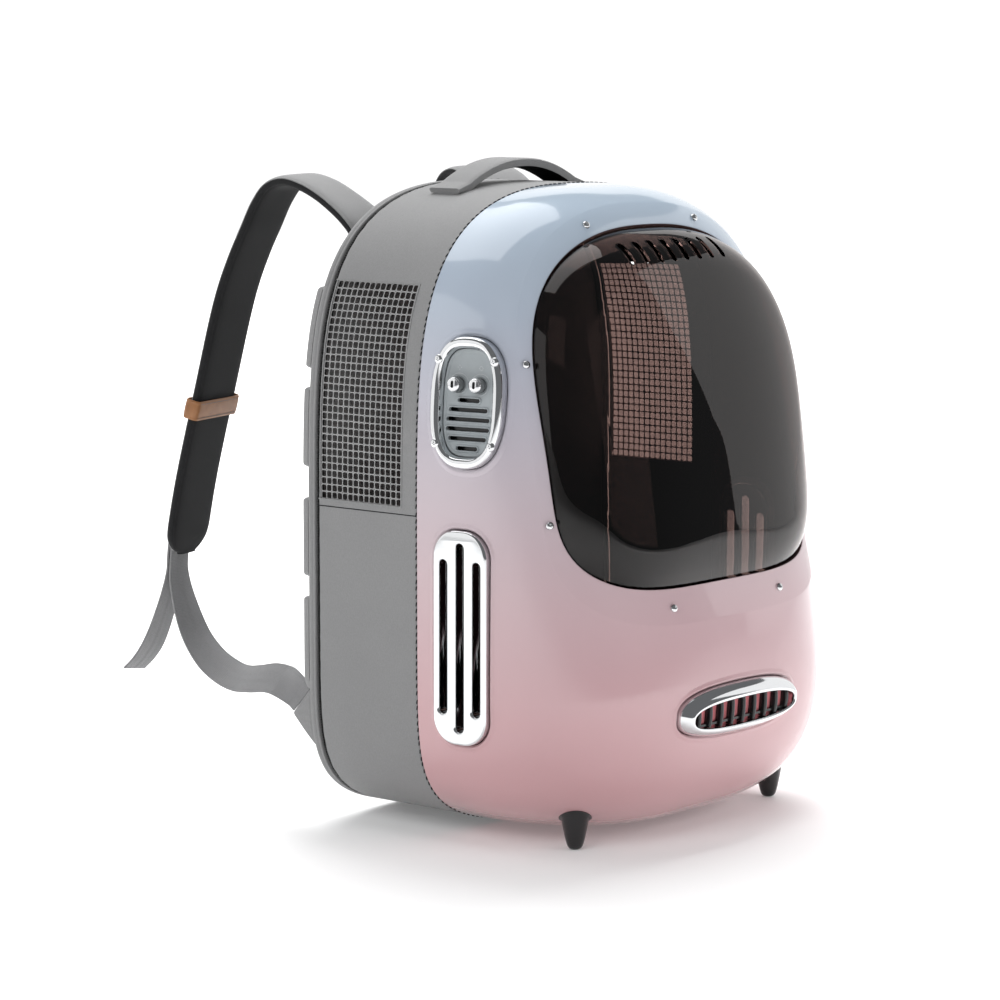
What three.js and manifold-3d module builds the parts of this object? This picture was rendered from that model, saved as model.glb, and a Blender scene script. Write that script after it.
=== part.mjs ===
// Bubble pet carrier backpack: a rigid shell with a tinted bubble window in front, a fabric
// middle with a mesh window on each side, and a padded back with two shoulder straps.
// X is to the right seen from the front, the front faces -Y, Z is up, lengths are millimetres.
// The origin is on the floor, in the flat base of the fabric middle.

import * as THREE from 'three';
import Module from 'manifold-3d';
import { mergeVertices } from 'three/addons/utils/BufferGeometryUtils.js';

const wasm = await Module();
wasm.setup();

// Fit between pieces
const CLEARANCE = 0.3;
const COLUMNS = 38;

// Body outline seen from the front
const BODY_HEIGHT = 450;
const BODY_HALF_WIDTH = 167;
const WIDEST_Z = 0.3956 * BODY_HEIGHT;
const BASE_HALF_FLAT = 0.2934 * BODY_HALF_WIDTH;
const UPPER_POWERS = [2.55, 4.7];
const LOWER_POWERS = [2.58, 6.57];

// Depths along Y, from the shell's seam to the back
const SEAM_Y = -52;
const FABRIC_DEPTH = 91.6;
const FABRIC_WALL = 2.5;
const PIPING_WIDTH = 2.6;
const PIPING_INSET = 1.2;
const PIPING_RADIAL = 6;
const BACK_THICKNESS = 7.5;
const BACK_EDGE_ROUND = 1.6;
const PAD_THICKNESS = 5.4;
const PAD_INSET = 6.5;
const PAD_EDGE_ROUND = 2.2;

// Dome of the front shell
const DOME_DEPTH = 151.3;
const DOME_Z = 0.24 * BODY_HEIGHT;
const DOME_UPPER_POWERS = [3.24, 1.09];
const DOME_LOWER_POWERS = [9, 1.9];
const DOME_SECTION_TOP = 3.09;
const DOME_SECTION_BOTTOM = 3.59;
const BELLY_LIFT = 15;
const SHELL_WALL = 2.5;

// Window opening, the sunk band round it and the bubble
const WINDOW_CENTRE_Z = 0.6333 * BODY_HEIGHT;
const RIM = {
  halfWidth: 0.8563 * BODY_HALF_WIDTH,
  wideZ: 0.6 * BODY_HEIGHT,
  up: 0.3467 * BODY_HEIGHT,
  down: 0.2044 * BODY_HEIGHT,
  upper: [2.4, 3.6],
  lower: [4, 5],
};
const BAND_SIDE = 6;
const BAND_TOP = 12.5;
const BAND_BOTTOM = 25.5;
const BAND_SINK = 4;
const BUBBLE_WALL = 2;
const BUBBLE_FLANGE_SHARE = 1.05;
const BUBBLE_RISE_WIDTH = 36;
const BUBBLE_PROUD = [
  { z: 0.4 * BODY_HEIGHT, distance: 4 },
  { z: 0.7778 * BODY_HEIGHT, distance: 12.3 },
];
const AIR_SLOT_COUNT = 8;
const AIR_SLOT_PITCH = 14.5;
const AIR_SLOT_Z = 0.8933 * BODY_HEIGHT;
const AIR_SLOT_LENGTH = 19;
const AIR_SLOT_WIDTH = 3.6;

// Screws of the window
const WINDOW_SCREW_RADIUS = 2.9;
const WINDOW_SCREW_HEAD = 1.6;
const WINDOW_SCREW_SHANK = 1.4;
const WINDOW_SCREW_ANGLES = [66.3, 19.4, -21.4, -62.5];

// Control panel on the left side
const PANEL_Y = SEAM_Y - 0.2743 * DOME_DEPTH;
const PANEL_Z = 0.686 * BODY_HEIGHT;
const PANEL_RING = {
  halfWidth: 28.4, halfHeight: 44.8, power: 2.5, height: 3.4, band: 7.9, round: 1.5,
};
const PANEL_PLATE = { power: 3.2, thickness: 2 };
const PANEL_SLOT_HEIGHT = 2.7;
const PANEL_SLOTS = [
  { v: 1.6, length: 17.2 },
  { v: -4.9, length: 30.6 },
  { v: -11.4, length: 34.4 },
  { v: -18, length: 34.4 },
  { v: -24.5, length: 30.2 },
  { v: -31.1, length: 17 },
];
const KNOB_RADIUS = 5.3;
const KNOB_LENGTH = 11;
const KNOB_PITCH = 17.2;
const KNOB_V = 12.1;
const KNOB_SHAFT_RADIUS = 2;
const PANEL_SCREW = { radius: 3.2, head: 2, u: 22.2, v: 28.6 };

// Side vents
const VENT_Y = SEAM_Y - 0.2578 * DOME_DEPTH;
const VENT_Z = 0.3278 * BODY_HEIGHT;
const VENT = { halfWidth: 22.6, halfHeight: 74, corner: 19, height: 2.6, bevel: 1.4, lip: 4 };
const VENT_SLOT_PITCH = 14.2;
const VENT_SLOT_WIDTH = 6.8;
const VENT_SLOTS = [
  { place: -1, halfLength: 53 },
  { place: 0, halfLength: 65 },
  { place: 1, halfLength: 53 },
];

// Front grille
const GRILLE_Z = 0.2004 * BODY_HEIGHT;
const GRILLE_RING = { halfWidth: 66, halfHeight: 17.7, power: 2.7, height: 8, round: 2 };
const GRILLE_OPENING = { halfWidth: 58.4, halfHeight: 9.3, power: 2.6, drop: 1.1, round: 1.6 };
const SLAT_COUNT = 9;
const SLAT_PITCH = 12.8;
const SLAT_WIDTH = 3.8;
const SLAT_RECESS = 2;
const SHELF_THICKNESS = 1.6;

// Feet
const FOOT_X = 0.6784 * BODY_HALF_WIDTH;
const FOOT_Y = SEAM_Y - 0.6371 * DOME_DEPTH;
const FOOT_TOP_RADIUS = 11;
const FOOT_TIP_RADIUS = 5;
const FOOT_HEIGHT = 46;

// Mesh windows in the fabric
const MESH = {
  middleY: 0.2,
  halfDepth: 37.6,
  bottom: 0.5178 * BODY_HEIGHT,
  top: 0.8556 * BODY_HEIGHT,
  thickness: 1.2,
  inset: 0.7,
  columns: 3,
  rows: 7,
};
const MESH_BAR = 3.2;

// Back pads, each a share of the body height
const BACK_PADS = [
  { bottom: 0.718, top: 0.844 },
  { bottom: 0.564, top: 0.689 },
  { bottom: 0.391, top: 0.516 },
  { bottom: 0.129, top: 0.36 },
];

// Carry handle, a padded arch along X
const HANDLE_Y = 4.4;
const HANDLE_WIDTH = 28;
const HANDLE_THICKNESS = 5.6;
const HANDLE_CROWN = 1.6;
const HANDLE_SPAN = 132;
const HANDLE_RISE = 19.5;

// Shoulder straps: reach is along the strap's own plane, height is a share of the body height
const STRAP_X = 0.509 * BODY_HALF_WIDTH;
const STRAP_PLAN_ANGLE = 14;
const STRAP_WIDTH = 57;
const STRAP_THICKNESS = 8.5;
const STRAP_REACH = 162;
const STRAP_ROUTE = [
  { reach: 0, height: 0.871, turn: 0, width: 1 },
  { reach: 0, height: 0.9, turn: 0, width: 1 },
  { reach: 0.025, height: 0.922, turn: 0.3, width: 1 },
  { reach: 0.105, height: 0.949, turn: 0.8, width: 1 },
  { reach: 0.21, height: 0.976, turn: 1, width: 1 },
  { reach: 0.305, height: 0.994, turn: 1, width: 1 },
  { reach: 0.4, height: 1.002, turn: 1, width: 1 },
  { reach: 0.475, height: 0.993, turn: 1, width: 1 },
  { reach: 0.533, height: 0.968, turn: 1, width: 1 },
  { reach: 0.594, height: 0.925, turn: 1, width: 1 },
  { reach: 0.66, height: 0.876, turn: 1, width: 1 },
  { reach: 0.726, height: 0.815, turn: 1, width: 1 },
  { reach: 0.841, height: 0.658, turn: 1, width: 1 },
  { reach: 0.944, height: 0.509, turn: 1, width: 1 },
  { reach: 0.99, height: 0.424, turn: 1, width: 1 },
  { reach: 1, height: 0.4, turn: 1, width: 0.8 },
  { reach: 1.003, height: 0.386, turn: 1, width: 0.42 },
];
const KEEPER_HEIGHT_SHARE = 0.631;
const KEEPER_WIDTH = 14;
const KEEPER_THICKNESS = 1.6;

// Bands thinner than this have a plain section
const THIN_BAND = 3;

// Webbing between a strap's end and the tab at the back's lower corner
const WEB_WIDTH = 25;
const WEB_THICKNESS = 1.8;
const WEB_SEWN_LENGTH = 40;
const WEB_ROUTE = [
  { x: 0.025, y: 0, z: 0.2, across: [-1, 0.1, 0] },
  { x: 0.062, y: 0.045, z: 0.433, across: [-1, 0.1, 0] },
  { x: 0.111, y: 0.129, z: 0.69, across: [-0.98, 0, 0.1] },
  { x: 0.21, y: 0.251, z: 0.86, across: [-0.93, 0.3, -0.15] },
  { x: 0.321, y: 0.379, z: 0.942, across: [-0.82, 0.4, -0.38] },
  { x: 0.481, y: 0.502, z: 0.959, across: [-0.65, 0.22, -0.72] },
  { x: 0.63, y: 0.624, z: 0.93, across: [-0.55, 0.16, -0.81] },
  { x: 0.753, y: 0.759, z: 0.889, across: [-0.45, 0.3, -0.82] },
  { x: 0.877, y: 0.868, z: 0.895, across: [-0.3, 0.55, -0.77] },
];
const TAIL_REACH = 50;
const TAIL_ROUTE = [
  { reach: 0.03, fall: 0.16 },
  { reach: 0.14, fall: 0.34 },
  { reach: 0.27, fall: 0.5 },
  { reach: 0.42, fall: 0.66 },
  { reach: 0.6, fall: 0.81 },
  { reach: 0.8, fall: 0.92 },
  { reach: 1, fall: 1 },
];
const TAIL_FALL = 92;

// Webbing tab, a small triangle behind each lower corner
const TAB = {
  top: 0.2133 * BODY_HEIGHT,
  bottom: 0.12 * BODY_HEIGHT,
  tipZ: 0.1689 * BODY_HEIGHT,
  reach: 18,
  thickness: 2.2,
};

// Depths that follow from the sizes above
const FABRIC_FRONT_Y = SEAM_Y + CLEARANCE;
const FABRIC_BACK_Y = FABRIC_FRONT_Y + FABRIC_DEPTH;
const PIPING_FRONT_Y = FABRIC_BACK_Y + CLEARANCE;
const PIPING_BACK_Y = PIPING_FRONT_Y + PIPING_WIDTH;
const BACK_FRONT_Y = PIPING_BACK_Y + CLEARANCE;
const BACK_Y = BACK_FRONT_Y + BACK_THICKNESS;

// Materials
const finish = (color, roughness, metalness = 0, extra = {}) =>
  new THREE.MeshStandardMaterial({ color, roughness, metalness, ...extra });
const SHELL_GLOSS = finish(0xd0b4be, 0.18);
const WINDOW_TINT = finish(0x1a1413, 0.06, 0, { transparent: true, opacity: 0.75 });
const CHROME = finish(0xdedede, 0.08, 1);
const PANEL_GREY = finish(0x8b9699, 0.45, 0.3);
const CANVAS = finish(0x8c8c8c, 0.9);
const PADDING = finish(0x8f8f8f, 0.95);
const STRAP_LINING = finish(0x707070, 0.95);
const TAN_LEATHER = finish(0xaf7341, 0.6);
const BLACK_PLASTIC = finish(0x141414, 0.35);
const BLACK_TAPE = finish(0x101010, 0.8);

// Geometry helpers
const lerp = (a, b, t) => a + (b - a) * t;
const clamp01 = (t) => Math.min(Math.max(t, 0), 1);
const vec = (x, y, z) => new THREE.Vector3(x, y, z);

// First point on the way from an inside value to an outside one where inside() fails
function boundary(inside, from, to) {
  let low = from;
  let high = to;
  for (let step = 0; step < 40; step += 1) {
    const middle = (low + high) / 2;
    if (inside(middle)) low = middle;
    else high = middle;
  }
  return low;
}

function signedVolume(points, triangles) {
  let volume = 0;
  const cross = new THREE.Vector3();
  for (const [a, b, c] of triangles) {
    volume += points[a].dot(cross.crossVectors(points[b], points[c])) / 6;
  }
  return volume;
}

// An indexed geometry whose faces point out
function closedGeometry(points, triangles) {
  const outward = signedVolume(points, triangles) > 0;
  const geometry = new THREE.BufferGeometry();
  const positions = points.flatMap((point) => [point.x, point.y, point.z]);
  const index = triangles.flatMap(([a, b, c]) => (outward ? [a, b, c] : [a, c, b]));
  geometry.setAttribute('position', new THREE.Float32BufferAttribute(positions, 3));
  geometry.setIndex(index);
  return geometry;
}

function joinRows(triangles, count, first, second) {
  for (let i = 0; i < count; i += 1) {
    const next = (i + 1) % count;
    triangles.push([first + i, first + next, second + next]);
    triangles.push([first + i, second + next, second + i]);
  }
}

// A ring-shaped body whose rows of points close on themselves
function ringSolid(rows) {
  const count = rows[0].length;
  const triangles = [];
  rows.forEach((row, j) => {
    joinRows(triangles, count, j * count, ((j + 1) % rows.length) * count);
  });
  return closedGeometry(rows.flat(), triangles);
}

// A body lofted through rows of points, with a flat fan at each end
function loftSolid(rows) {
  const count = rows[0].length;
  const points = rows.flat();
  const triangles = [];
  for (let j = 0; j + 1 < rows.length; j += 1) {
    joinRows(triangles, count, j * count, (j + 1) * count);
  }
  [0, rows.length - 1].forEach((j, end) => {
    const middle = rows[j].reduce((sum, point) => sum.add(point), vec(0, 0, 0));
    points.push(middle.divideScalar(count));
    const hub = points.length - 1;
    for (let i = 0; i < count; i += 1) {
      const a = j * count + i;
      const b = j * count + ((i + 1) % count);
      triangles.push(end ? [a, b, hub] : [b, a, hub]);
    }
  });
  return closedGeometry(points, triangles);
}

function toManifold(geometry) {
  const bare = geometry.clone();
  bare.deleteAttribute('normal');
  bare.deleteAttribute('uv');
  const merged = mergeVertices(bare, 1e-4);
  return new wasm.Manifold(new wasm.Mesh({
    numProp: 3,
    vertProperties: new Float32Array(merged.attributes.position.array),
    triVerts: new Uint32Array(merged.index.array),
  }));
}

function fromManifold(manifold) {
  const mesh = manifold.getMesh();
  const geometry = new THREE.BufferGeometry();
  geometry.setAttribute('position', new THREE.BufferAttribute(mesh.vertProperties, 3));
  geometry.setIndex(new THREE.BufferAttribute(mesh.triVerts, 1));
  return geometry;
}

const subtract = (geometry, cutters) => fromManifold(
  cutters.reduce((body, cutter) => body.subtract(toManifold(cutter)), toManifold(geometry)));
const unite = (geometries) => fromManifold(
  geometries.slice(1).reduce((body, other) => body.add(toManifold(other)), toManifold(geometries[0])));
const intersect = (a, b) => fromManifold(toManifold(a).intersect(toManifold(b)));

const model = new THREE.Group();
function addPiece(name, geometry, material) {
  const mesh = new THREE.Mesh(geometry, material.clone());
  mesh.name = name;
  model.add(mesh);
  return mesh;
}

// The body's outline
const lowerReach = WIDEST_Z
  / (1 - (BASE_HALF_FLAT / BODY_HALF_WIDTH) ** LOWER_POWERS[0]) ** (1 / LOWER_POWERS[1]);

// Half the width of an oval of two superellipse halves that meet at its widest height
function ovalHalfWidth(oval, z) {
  const rising = z >= oval.wideZ;
  const share = rising ? (z - oval.wideZ) / oval.up : (oval.wideZ - z) / oval.down;
  const [m, n] = rising ? oval.upper : oval.lower;
  return oval.halfWidth * (1 - Math.min(share, 1) ** n) ** (1 / m);
}

const BODY = {
  halfWidth: BODY_HALF_WIDTH,
  wideZ: WIDEST_Z,
  up: BODY_HEIGHT - WIDEST_Z,
  down: lowerReach,
  upper: UPPER_POWERS,
  lower: LOWER_POWERS,
};
const bodyHalfWidth = (z) => ovalHalfWidth(BODY, Math.max(z, 0));

// Height of the outline's upper part at a distance from the middle
const upperOutlineZ = (x) => boundary((z) => bodyHalfWidth(z) > x, WIDEST_Z, BODY_HEIGHT);

// Points of the right half of the outline, closer together where it turns
function halfOutline(steps) {
  const fine = [];
  const fineSteps = 240;
  const push = (x, z) => fine.push({ x, z });
  for (let i = 0; i <= fineSteps; i += 1) {
    const angle = (Math.PI / 2) * (1 - i / fineSteps);
    const z = WIDEST_Z - BODY.down * Math.sin(angle) ** (2 / BODY.lower[1]);
    if (z > 0.02) push(BODY.halfWidth * Math.cos(angle) ** (2 / BODY.lower[0]), z);
  }
  for (let i = 1; i <= fineSteps; i += 1) {
    const angle = (Math.PI / 2) * (i / fineSteps);
    const x = BODY.halfWidth * Math.abs(Math.cos(angle)) ** (2 / BODY.upper[0]);
    push(i === fineSteps ? 0 : x, WIDEST_Z + BODY.up * Math.sin(angle) ** (2 / BODY.upper[1]));
  }
  fine.unshift({ x: BASE_HALF_FLAT, z: 0 });
  const lengthUnit = 34;
  const turnUnit = 0.24;
  const measure = [0];
  let heading = Math.atan2(fine[1].z, fine[1].x - fine[0].x);
  for (let i = 1; i < fine.length; i += 1) {
    const dx = fine[i].x - fine[i - 1].x;
    const dz = fine[i].z - fine[i - 1].z;
    const turn = Math.abs(Math.atan2(dz, dx) - heading);
    heading = Math.atan2(dz, dx);
    measure.push(measure[i - 1] + Math.hypot(dx, dz) / lengthUnit + Math.min(turn, 0.3) / turnUnit);
  }
  const total = measure[measure.length - 1];
  const picked = [];
  for (let k = 0; k <= steps; k += 1) {
    const wanted = (total * k) / steps;
    let i = measure.findIndex((value) => value >= wanted - 1e-9);
    i = Math.max(i, 1);
    const t = clamp01((wanted - measure[i - 1]) / (measure[i] - measure[i - 1]));
    picked.push({ x: lerp(fine[i - 1].x, fine[i].x, t), z: lerp(fine[i - 1].z, fine[i].z, t) });
  }
  return picked;
}

// The whole outline, from the middle of the base round by the right side
function bodyOutline() {
  const right = halfOutline(COLUMNS / 2 - 1);
  const left = right.slice(0, -1).reverse().map((point) => ({ x: -point.x, z: point.z }));
  return [{ x: 0, z: 0 }, ...right, ...left];
}

const outline = bodyOutline();

// The outline moved inwards by a distance
function insetOutline(distance) {
  const count = outline.length;
  return outline.map((point, i) => {
    const before = outline[(i + count - 1) % count];
    const after = outline[(i + 1) % count];
    const length = Math.hypot(after.x - before.x, after.z - before.z);
    const nx = (after.z - before.z) / length;
    const nz = -(after.x - before.x) / length;
    return { x: point.x - nx * distance, z: point.z - nz * distance };
  });
}

const outlineRow = (inset, y) => insetOutline(inset).map((point) => vec(point.x, y, point.z));

// The dome of the front shell; depth is measured forwards from the seam
function domeMiddleDepth(z) {
  const rising = z >= DOME_Z;
  const share = rising ? (z - DOME_Z) / (BODY_HEIGHT - DOME_Z) : (DOME_Z - z) / DOME_Z;
  const [m, n] = rising ? DOME_UPPER_POWERS : DOME_LOWER_POWERS;
  return DOME_DEPTH * (1 - clamp01(share) ** n) ** (1 / m);
}

// Below zero inside the dome, above zero outside
function domeValue(x, depth, z) {
  const lift = BELLY_LIFT * (depth / DOME_DEPTH) ** 2;
  const level = z < DOME_Z ? (z - lift) / (1 - lift / DOME_Z) : z;
  if (level < 0 || level >= BODY_HEIGHT) return 10;
  const power = lerp(DOME_SECTION_BOTTOM, DOME_SECTION_TOP, level / BODY_HEIGHT);
  const across = Math.abs(x) / bodyHalfWidth(level);
  return across ** power + (Math.max(depth, 0) / domeMiddleDepth(level)) ** power - 1;
}

const domePoint = (x, depth, z) => vec(x, SEAM_Y - depth, z);
const frontDepth = (x, z) => boundary((depth) => domeValue(x, depth, z) < 0, 0, DOME_DEPTH + 20);
const sideX = (y, z) => boundary((x) => domeValue(x, SEAM_Y - y, z) < 0, 0, BODY_HALF_WIDTH + 20);

// Where the line from the window's centre to an outline point leaves an oval
function onOval(oval, target) {
  const at = (t) => ({ x: target.x * t, z: lerp(WINDOW_CENTRE_Z, target.z, t) });
  const inside = (t) => {
    const point = at(t);
    const inRange = point.z < oval.wideZ + oval.up && point.z > oval.wideZ - oval.down;
    return inRange && Math.abs(point.x) < ovalHalfWidth(oval, point.z);
  };
  return at(boundary(inside, 0, 1));
}

const BAND = {
  ...RIM,
  halfWidth: RIM.halfWidth + BAND_SIDE,
  up: RIM.up + BAND_TOP,
  down: RIM.down + BAND_BOTTOM,
};
const rimLoop = outline.map((point) => onOval(RIM, point));
const bandLoop = outline.map((point) => onOval(BAND, point));

// One point of a dome column, at an angle between the seam (0) and its front end (90 degrees)
function columnPoint(seam, end, angle) {
  const endDepth = frontDepth(end.x, end.z);
  const at = (reach) => {
    const t = 1 - reach * Math.cos(angle);
    return [lerp(seam.x, end.x, t), reach * Math.sin(angle) * endDepth, lerp(seam.z, end.z, t)];
  };
  const inside = (reach) => domeValue(...at(reach)) < 0;
  return domePoint(...at(boundary(inside, 0.2, 1.6)));
}

const DOME_ANGLES = [0, 17, 36, 54, 72, 90].map(THREE.MathUtils.degToRad);
const BAND_STEPS = [
  { share: 0.14, sink: 0.12 },
  { share: 0.5, sink: 0.5 },
  { share: 1, sink: 1 },
];

const domeRows = DOME_ANGLES.map((angle) => outline.map((seam, i) => (
  angle === 0 ? domePoint(seam.x, 0, seam.z) : columnPoint(seam, bandLoop[i], angle))));
const bandRows = BAND_STEPS.map(({ share }) => bandLoop.map((band, i) => {
  const x = lerp(band.x, rimLoop[i].x, share);
  const z = lerp(band.z, rimLoop[i].z, share);
  return domePoint(x, frontDepth(x, z), z);
}));
const shellRows = [...domeRows, ...bandRows];

// Normals of a grid of rows, pointing away from the body
function rowNormals(rows, inward) {
  const count = rows[0].length;
  return rows.map((row, j) => row.map((point, i) => {
    const along = row[(i + 1) % count].clone().sub(row[(i + count - 1) % count]);
    const after = rows[Math.min(j + 1, rows.length - 1)][i];
    const before = rows[Math.max(j - 1, 0)][i];
    const normal = along.cross(after.clone().sub(before)).normalize();
    return normal.dot(point.clone().sub(inward)) < 0 ? normal.negate() : normal;
  }));
}

const bodyMiddle = vec(0, SEAM_Y, BODY_HEIGHT / 2);
const shellNormals = rowNormals(shellRows, bodyMiddle);
shellNormals[0].forEach((normal) => normal.setY(0).normalize());

const shellSink = [...DOME_ANGLES.map(() => 0), ...BAND_STEPS.map(({ sink }) => sink * BAND_SINK)];
const movedShellRows = (distance) => shellRows.map((row, j) => row.map((point, i) => (
  point.clone().addScaledVector(shellNormals[j][i], distance - shellSink[j]))));

// The whole dome as a solid, which cuts the seats of what stands on the shell
function domeCutter(distance) {
  const rows = movedShellRows(distance).slice(0, DOME_ANGLES.length);
  const behind = rows[0].map((point) => point.clone().setY(SEAM_Y + 30));
  return loftSolid([behind, ...rows]);
}
const shellSeat = domeCutter(CLEARANCE);

// Frames on the shell: u to the right of a person who faces the surface, v up, n outwards
function frameAt(point) {
  const step = 0.5;
  const { x, z } = point;
  const depth = SEAM_Y - point.y;
  const normal = vec(
    domeValue(x + step, depth, z) - domeValue(x - step, depth, z),
    domeValue(x, depth - step, z) - domeValue(x, depth + step, z),
    domeValue(x, depth, z + step) - domeValue(x, depth, z - step),
  ).normalize();
  const u = vec(0, 0, 1).cross(normal).normalize();
  const v = normal.clone().cross(u);
  return new THREE.Matrix4().makeBasis(u, v, normal).setPosition(point);
}
const sideFrame = (side, y, z) => frameAt(vec(side * sideX(y, z), y, z));
const frontFrame = (x, z) => frameAt(domePoint(x, frontDepth(x, z), z));

const ovalPoints = (halfWidth, halfHeight, power, count, n, v0 = 0) => Array.from({ length: count },
  (_, i) => {
    const angle = (2 * Math.PI * i) / count;
    const bend = (value) => Math.sign(value) * Math.abs(value) ** (2 / power);
    return vec(halfWidth * bend(Math.cos(angle)), v0 + halfHeight * bend(Math.sin(angle)), n);
  });

const prism = (points, low, high) => loftSolid([
  points.map((point) => point.clone().setZ(low)),
  points.map((point) => point.clone().setZ(high)),
]);

function roundHead(radius, height, sides = 6) {
  const profile = [[radius, 0], [radius * 0.92, height * 0.5], [radius * 0.5, height]];
  const rows = profile.map(([r, n]) => ovalPoints(r, r, 2, sides, n));
  return loftSolid(rows);
}

// Control panel
const panelFrame = sideFrame(-1, PANEL_Y, PANEL_Z);
const plateHalfWidth = PANEL_RING.halfWidth - PANEL_RING.band - CLEARANCE;
const plateHalfHeight = PANEL_RING.halfHeight - PANEL_RING.band - CLEARANCE;
const PANEL_SIDES = 20;
const SKIRT_DEPTH = 9;

function controlRing() {
  const { halfWidth, halfHeight, power, height, band, round } = PANEL_RING;
  const inner = (grow, n) => ovalPoints(
    halfWidth - band + grow, halfHeight - band + grow, PANEL_PLATE.power, PANEL_SIDES, n);
  const outer = (grow, n) => ovalPoints(halfWidth - grow, halfHeight - grow, power, PANEL_SIDES, n);
  const ring = ringSolid([
    outer(0, -SKIRT_DEPTH),
    outer(0, height * 0.45),
    outer(round, height * 0.88),
    inner(round, height),
    inner(0, height * 0.7),
    inner(0, -SKIRT_DEPTH),
  ]);
  return subtract(ring.applyMatrix4(panelFrame), [shellSeat]);
}

function slotShape(u, v, length, height) {
  const radius = height / 2;
  const path = new THREE.Path();
  path.moveTo(u - length / 2 + radius, v - radius);
  path.lineTo(u + length / 2 - radius, v - radius);
  path.absarc(u + length / 2 - radius, v, radius, -Math.PI / 2, Math.PI / 2, false);
  path.lineTo(u - length / 2 + radius, v + radius);
  path.absarc(u - length / 2 + radius, v, radius, Math.PI / 2, (3 * Math.PI) / 2, false);
  return path;
}

const knobPlaces = [-1, 1].map((side) => ({ u: (side * KNOB_PITCH) / 2, v: KNOB_V }));

function controlPlate() {
  const edge = ovalPoints(plateHalfWidth, plateHalfHeight, PANEL_PLATE.power, PANEL_SIDES, 0);
  const shape = new THREE.Shape(edge.map((point) => new THREE.Vector2(point.x, point.y)));
  PANEL_SLOTS.forEach(({ v, length }) => {
    shape.holes.push(slotShape(0, v, length, PANEL_SLOT_HEIGHT));
  });
  knobPlaces.forEach(({ u, v }) => {
    const hole = new THREE.Path();
    hole.absarc(u, v, KNOB_SHAFT_RADIUS + CLEARANCE, 0, 2 * Math.PI, false);
    shape.holes.push(hole);
  });
  const plate = new THREE.ExtrudeGeometry(shape, {
    depth: PANEL_PLATE.thickness, bevelEnabled: false, curveSegments: 3,
  });
  plate.translate(0, 0, -PANEL_PLATE.thickness);
  return plate.applyMatrix4(panelFrame);
}

// A fluted knob on a short shaft, along n from the plate's face
function knobSolid({ u, v }) {
  const sides = 12;
  const row = (radius, n, flute = 0) => ovalPoints(radius, radius, 2, sides, n).map((point, i) => (
    point.multiply(vec(1 - (i % 2) * flute, 1 - (i % 2) * flute, 1))));
  return loftSolid([
    row(KNOB_SHAFT_RADIUS, -PANEL_PLATE.thickness),
    row(KNOB_SHAFT_RADIUS, CLEARANCE),
    row(KNOB_RADIUS, CLEARANCE, 0.08),
    row(KNOB_RADIUS, KNOB_LENGTH - 1, 0.08),
    row(KNOB_RADIUS - 1, KNOB_LENGTH),
  ]).translate(u, v, 0).applyMatrix4(panelFrame);
}

// Side vents
function roundedShape(halfWidth, halfHeight, corner) {
  const shape = new THREE.Shape();
  const x = halfWidth - corner;
  const y = halfHeight - corner;
  shape.absarc(x, y, corner, 0, Math.PI / 2, false);
  shape.absarc(-x, y, corner, Math.PI / 2, Math.PI, false);
  shape.absarc(-x, -y, corner, Math.PI, 1.5 * Math.PI, false);
  shape.absarc(x, -y, corner, 1.5 * Math.PI, 2 * Math.PI, false);
  return shape;
}

function sideVent(side) {
  const { halfWidth, halfHeight, corner, height, bevel } = VENT;
  const shape = roundedShape(halfWidth - bevel, halfHeight - bevel, corner - bevel);
  VENT_SLOTS.forEach(({ place, halfLength }) => {
    const u = place * VENT_SLOT_PITCH;
    const half = VENT_SLOT_WIDTH / 2 + bevel * 0.5;
    const slot = new THREE.Path();
    slot.moveTo(u - half, -halfLength);
    slot.lineTo(u + half, -halfLength);
    slot.lineTo(u + half, halfLength);
    slot.lineTo(u - half, halfLength);
    shape.holes.push(slot);
  });
  const plate = new THREE.ExtrudeGeometry(shape, {
    depth: SKIRT_DEPTH + height - bevel, bevelThickness: bevel, bevelSize: bevel, bevelSegments: 1,
    curveSegments: 3,
  });
  plate.translate(0, 0, -SKIRT_DEPTH);
  return subtract(plate.applyMatrix4(sideFrame(side, VENT_Y, VENT_Z)), [shellSeat]);
}

// Front grille
const grilleFrame = frontFrame(0, GRILLE_Z);
const GRILLE_SIDES = 24;

function grilleOpening(grow, n) {
  const { halfWidth, halfHeight, power, drop } = GRILLE_OPENING;
  return ovalPoints(halfWidth + grow, halfHeight + grow, power, GRILLE_SIDES, n, -drop);
}

function grilleRing() {
  const { halfWidth, halfHeight, power, height, round } = GRILLE_RING;
  const outer = (grow, n) => ovalPoints(halfWidth - grow, halfHeight - grow, power, GRILLE_SIDES, n);
  const ring = ringSolid([
    outer(0, -SKIRT_DEPTH),
    outer(0, height * 0.1),
    outer(round, height * 0.55),
    grilleOpening(GRILLE_OPENING.round, height),
    grilleOpening(0, height * 0.92),
    grilleOpening(0, -SKIRT_DEPTH),
  ]);
  return subtract(ring.applyMatrix4(grilleFrame), [shellSeat]);
}

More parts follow.
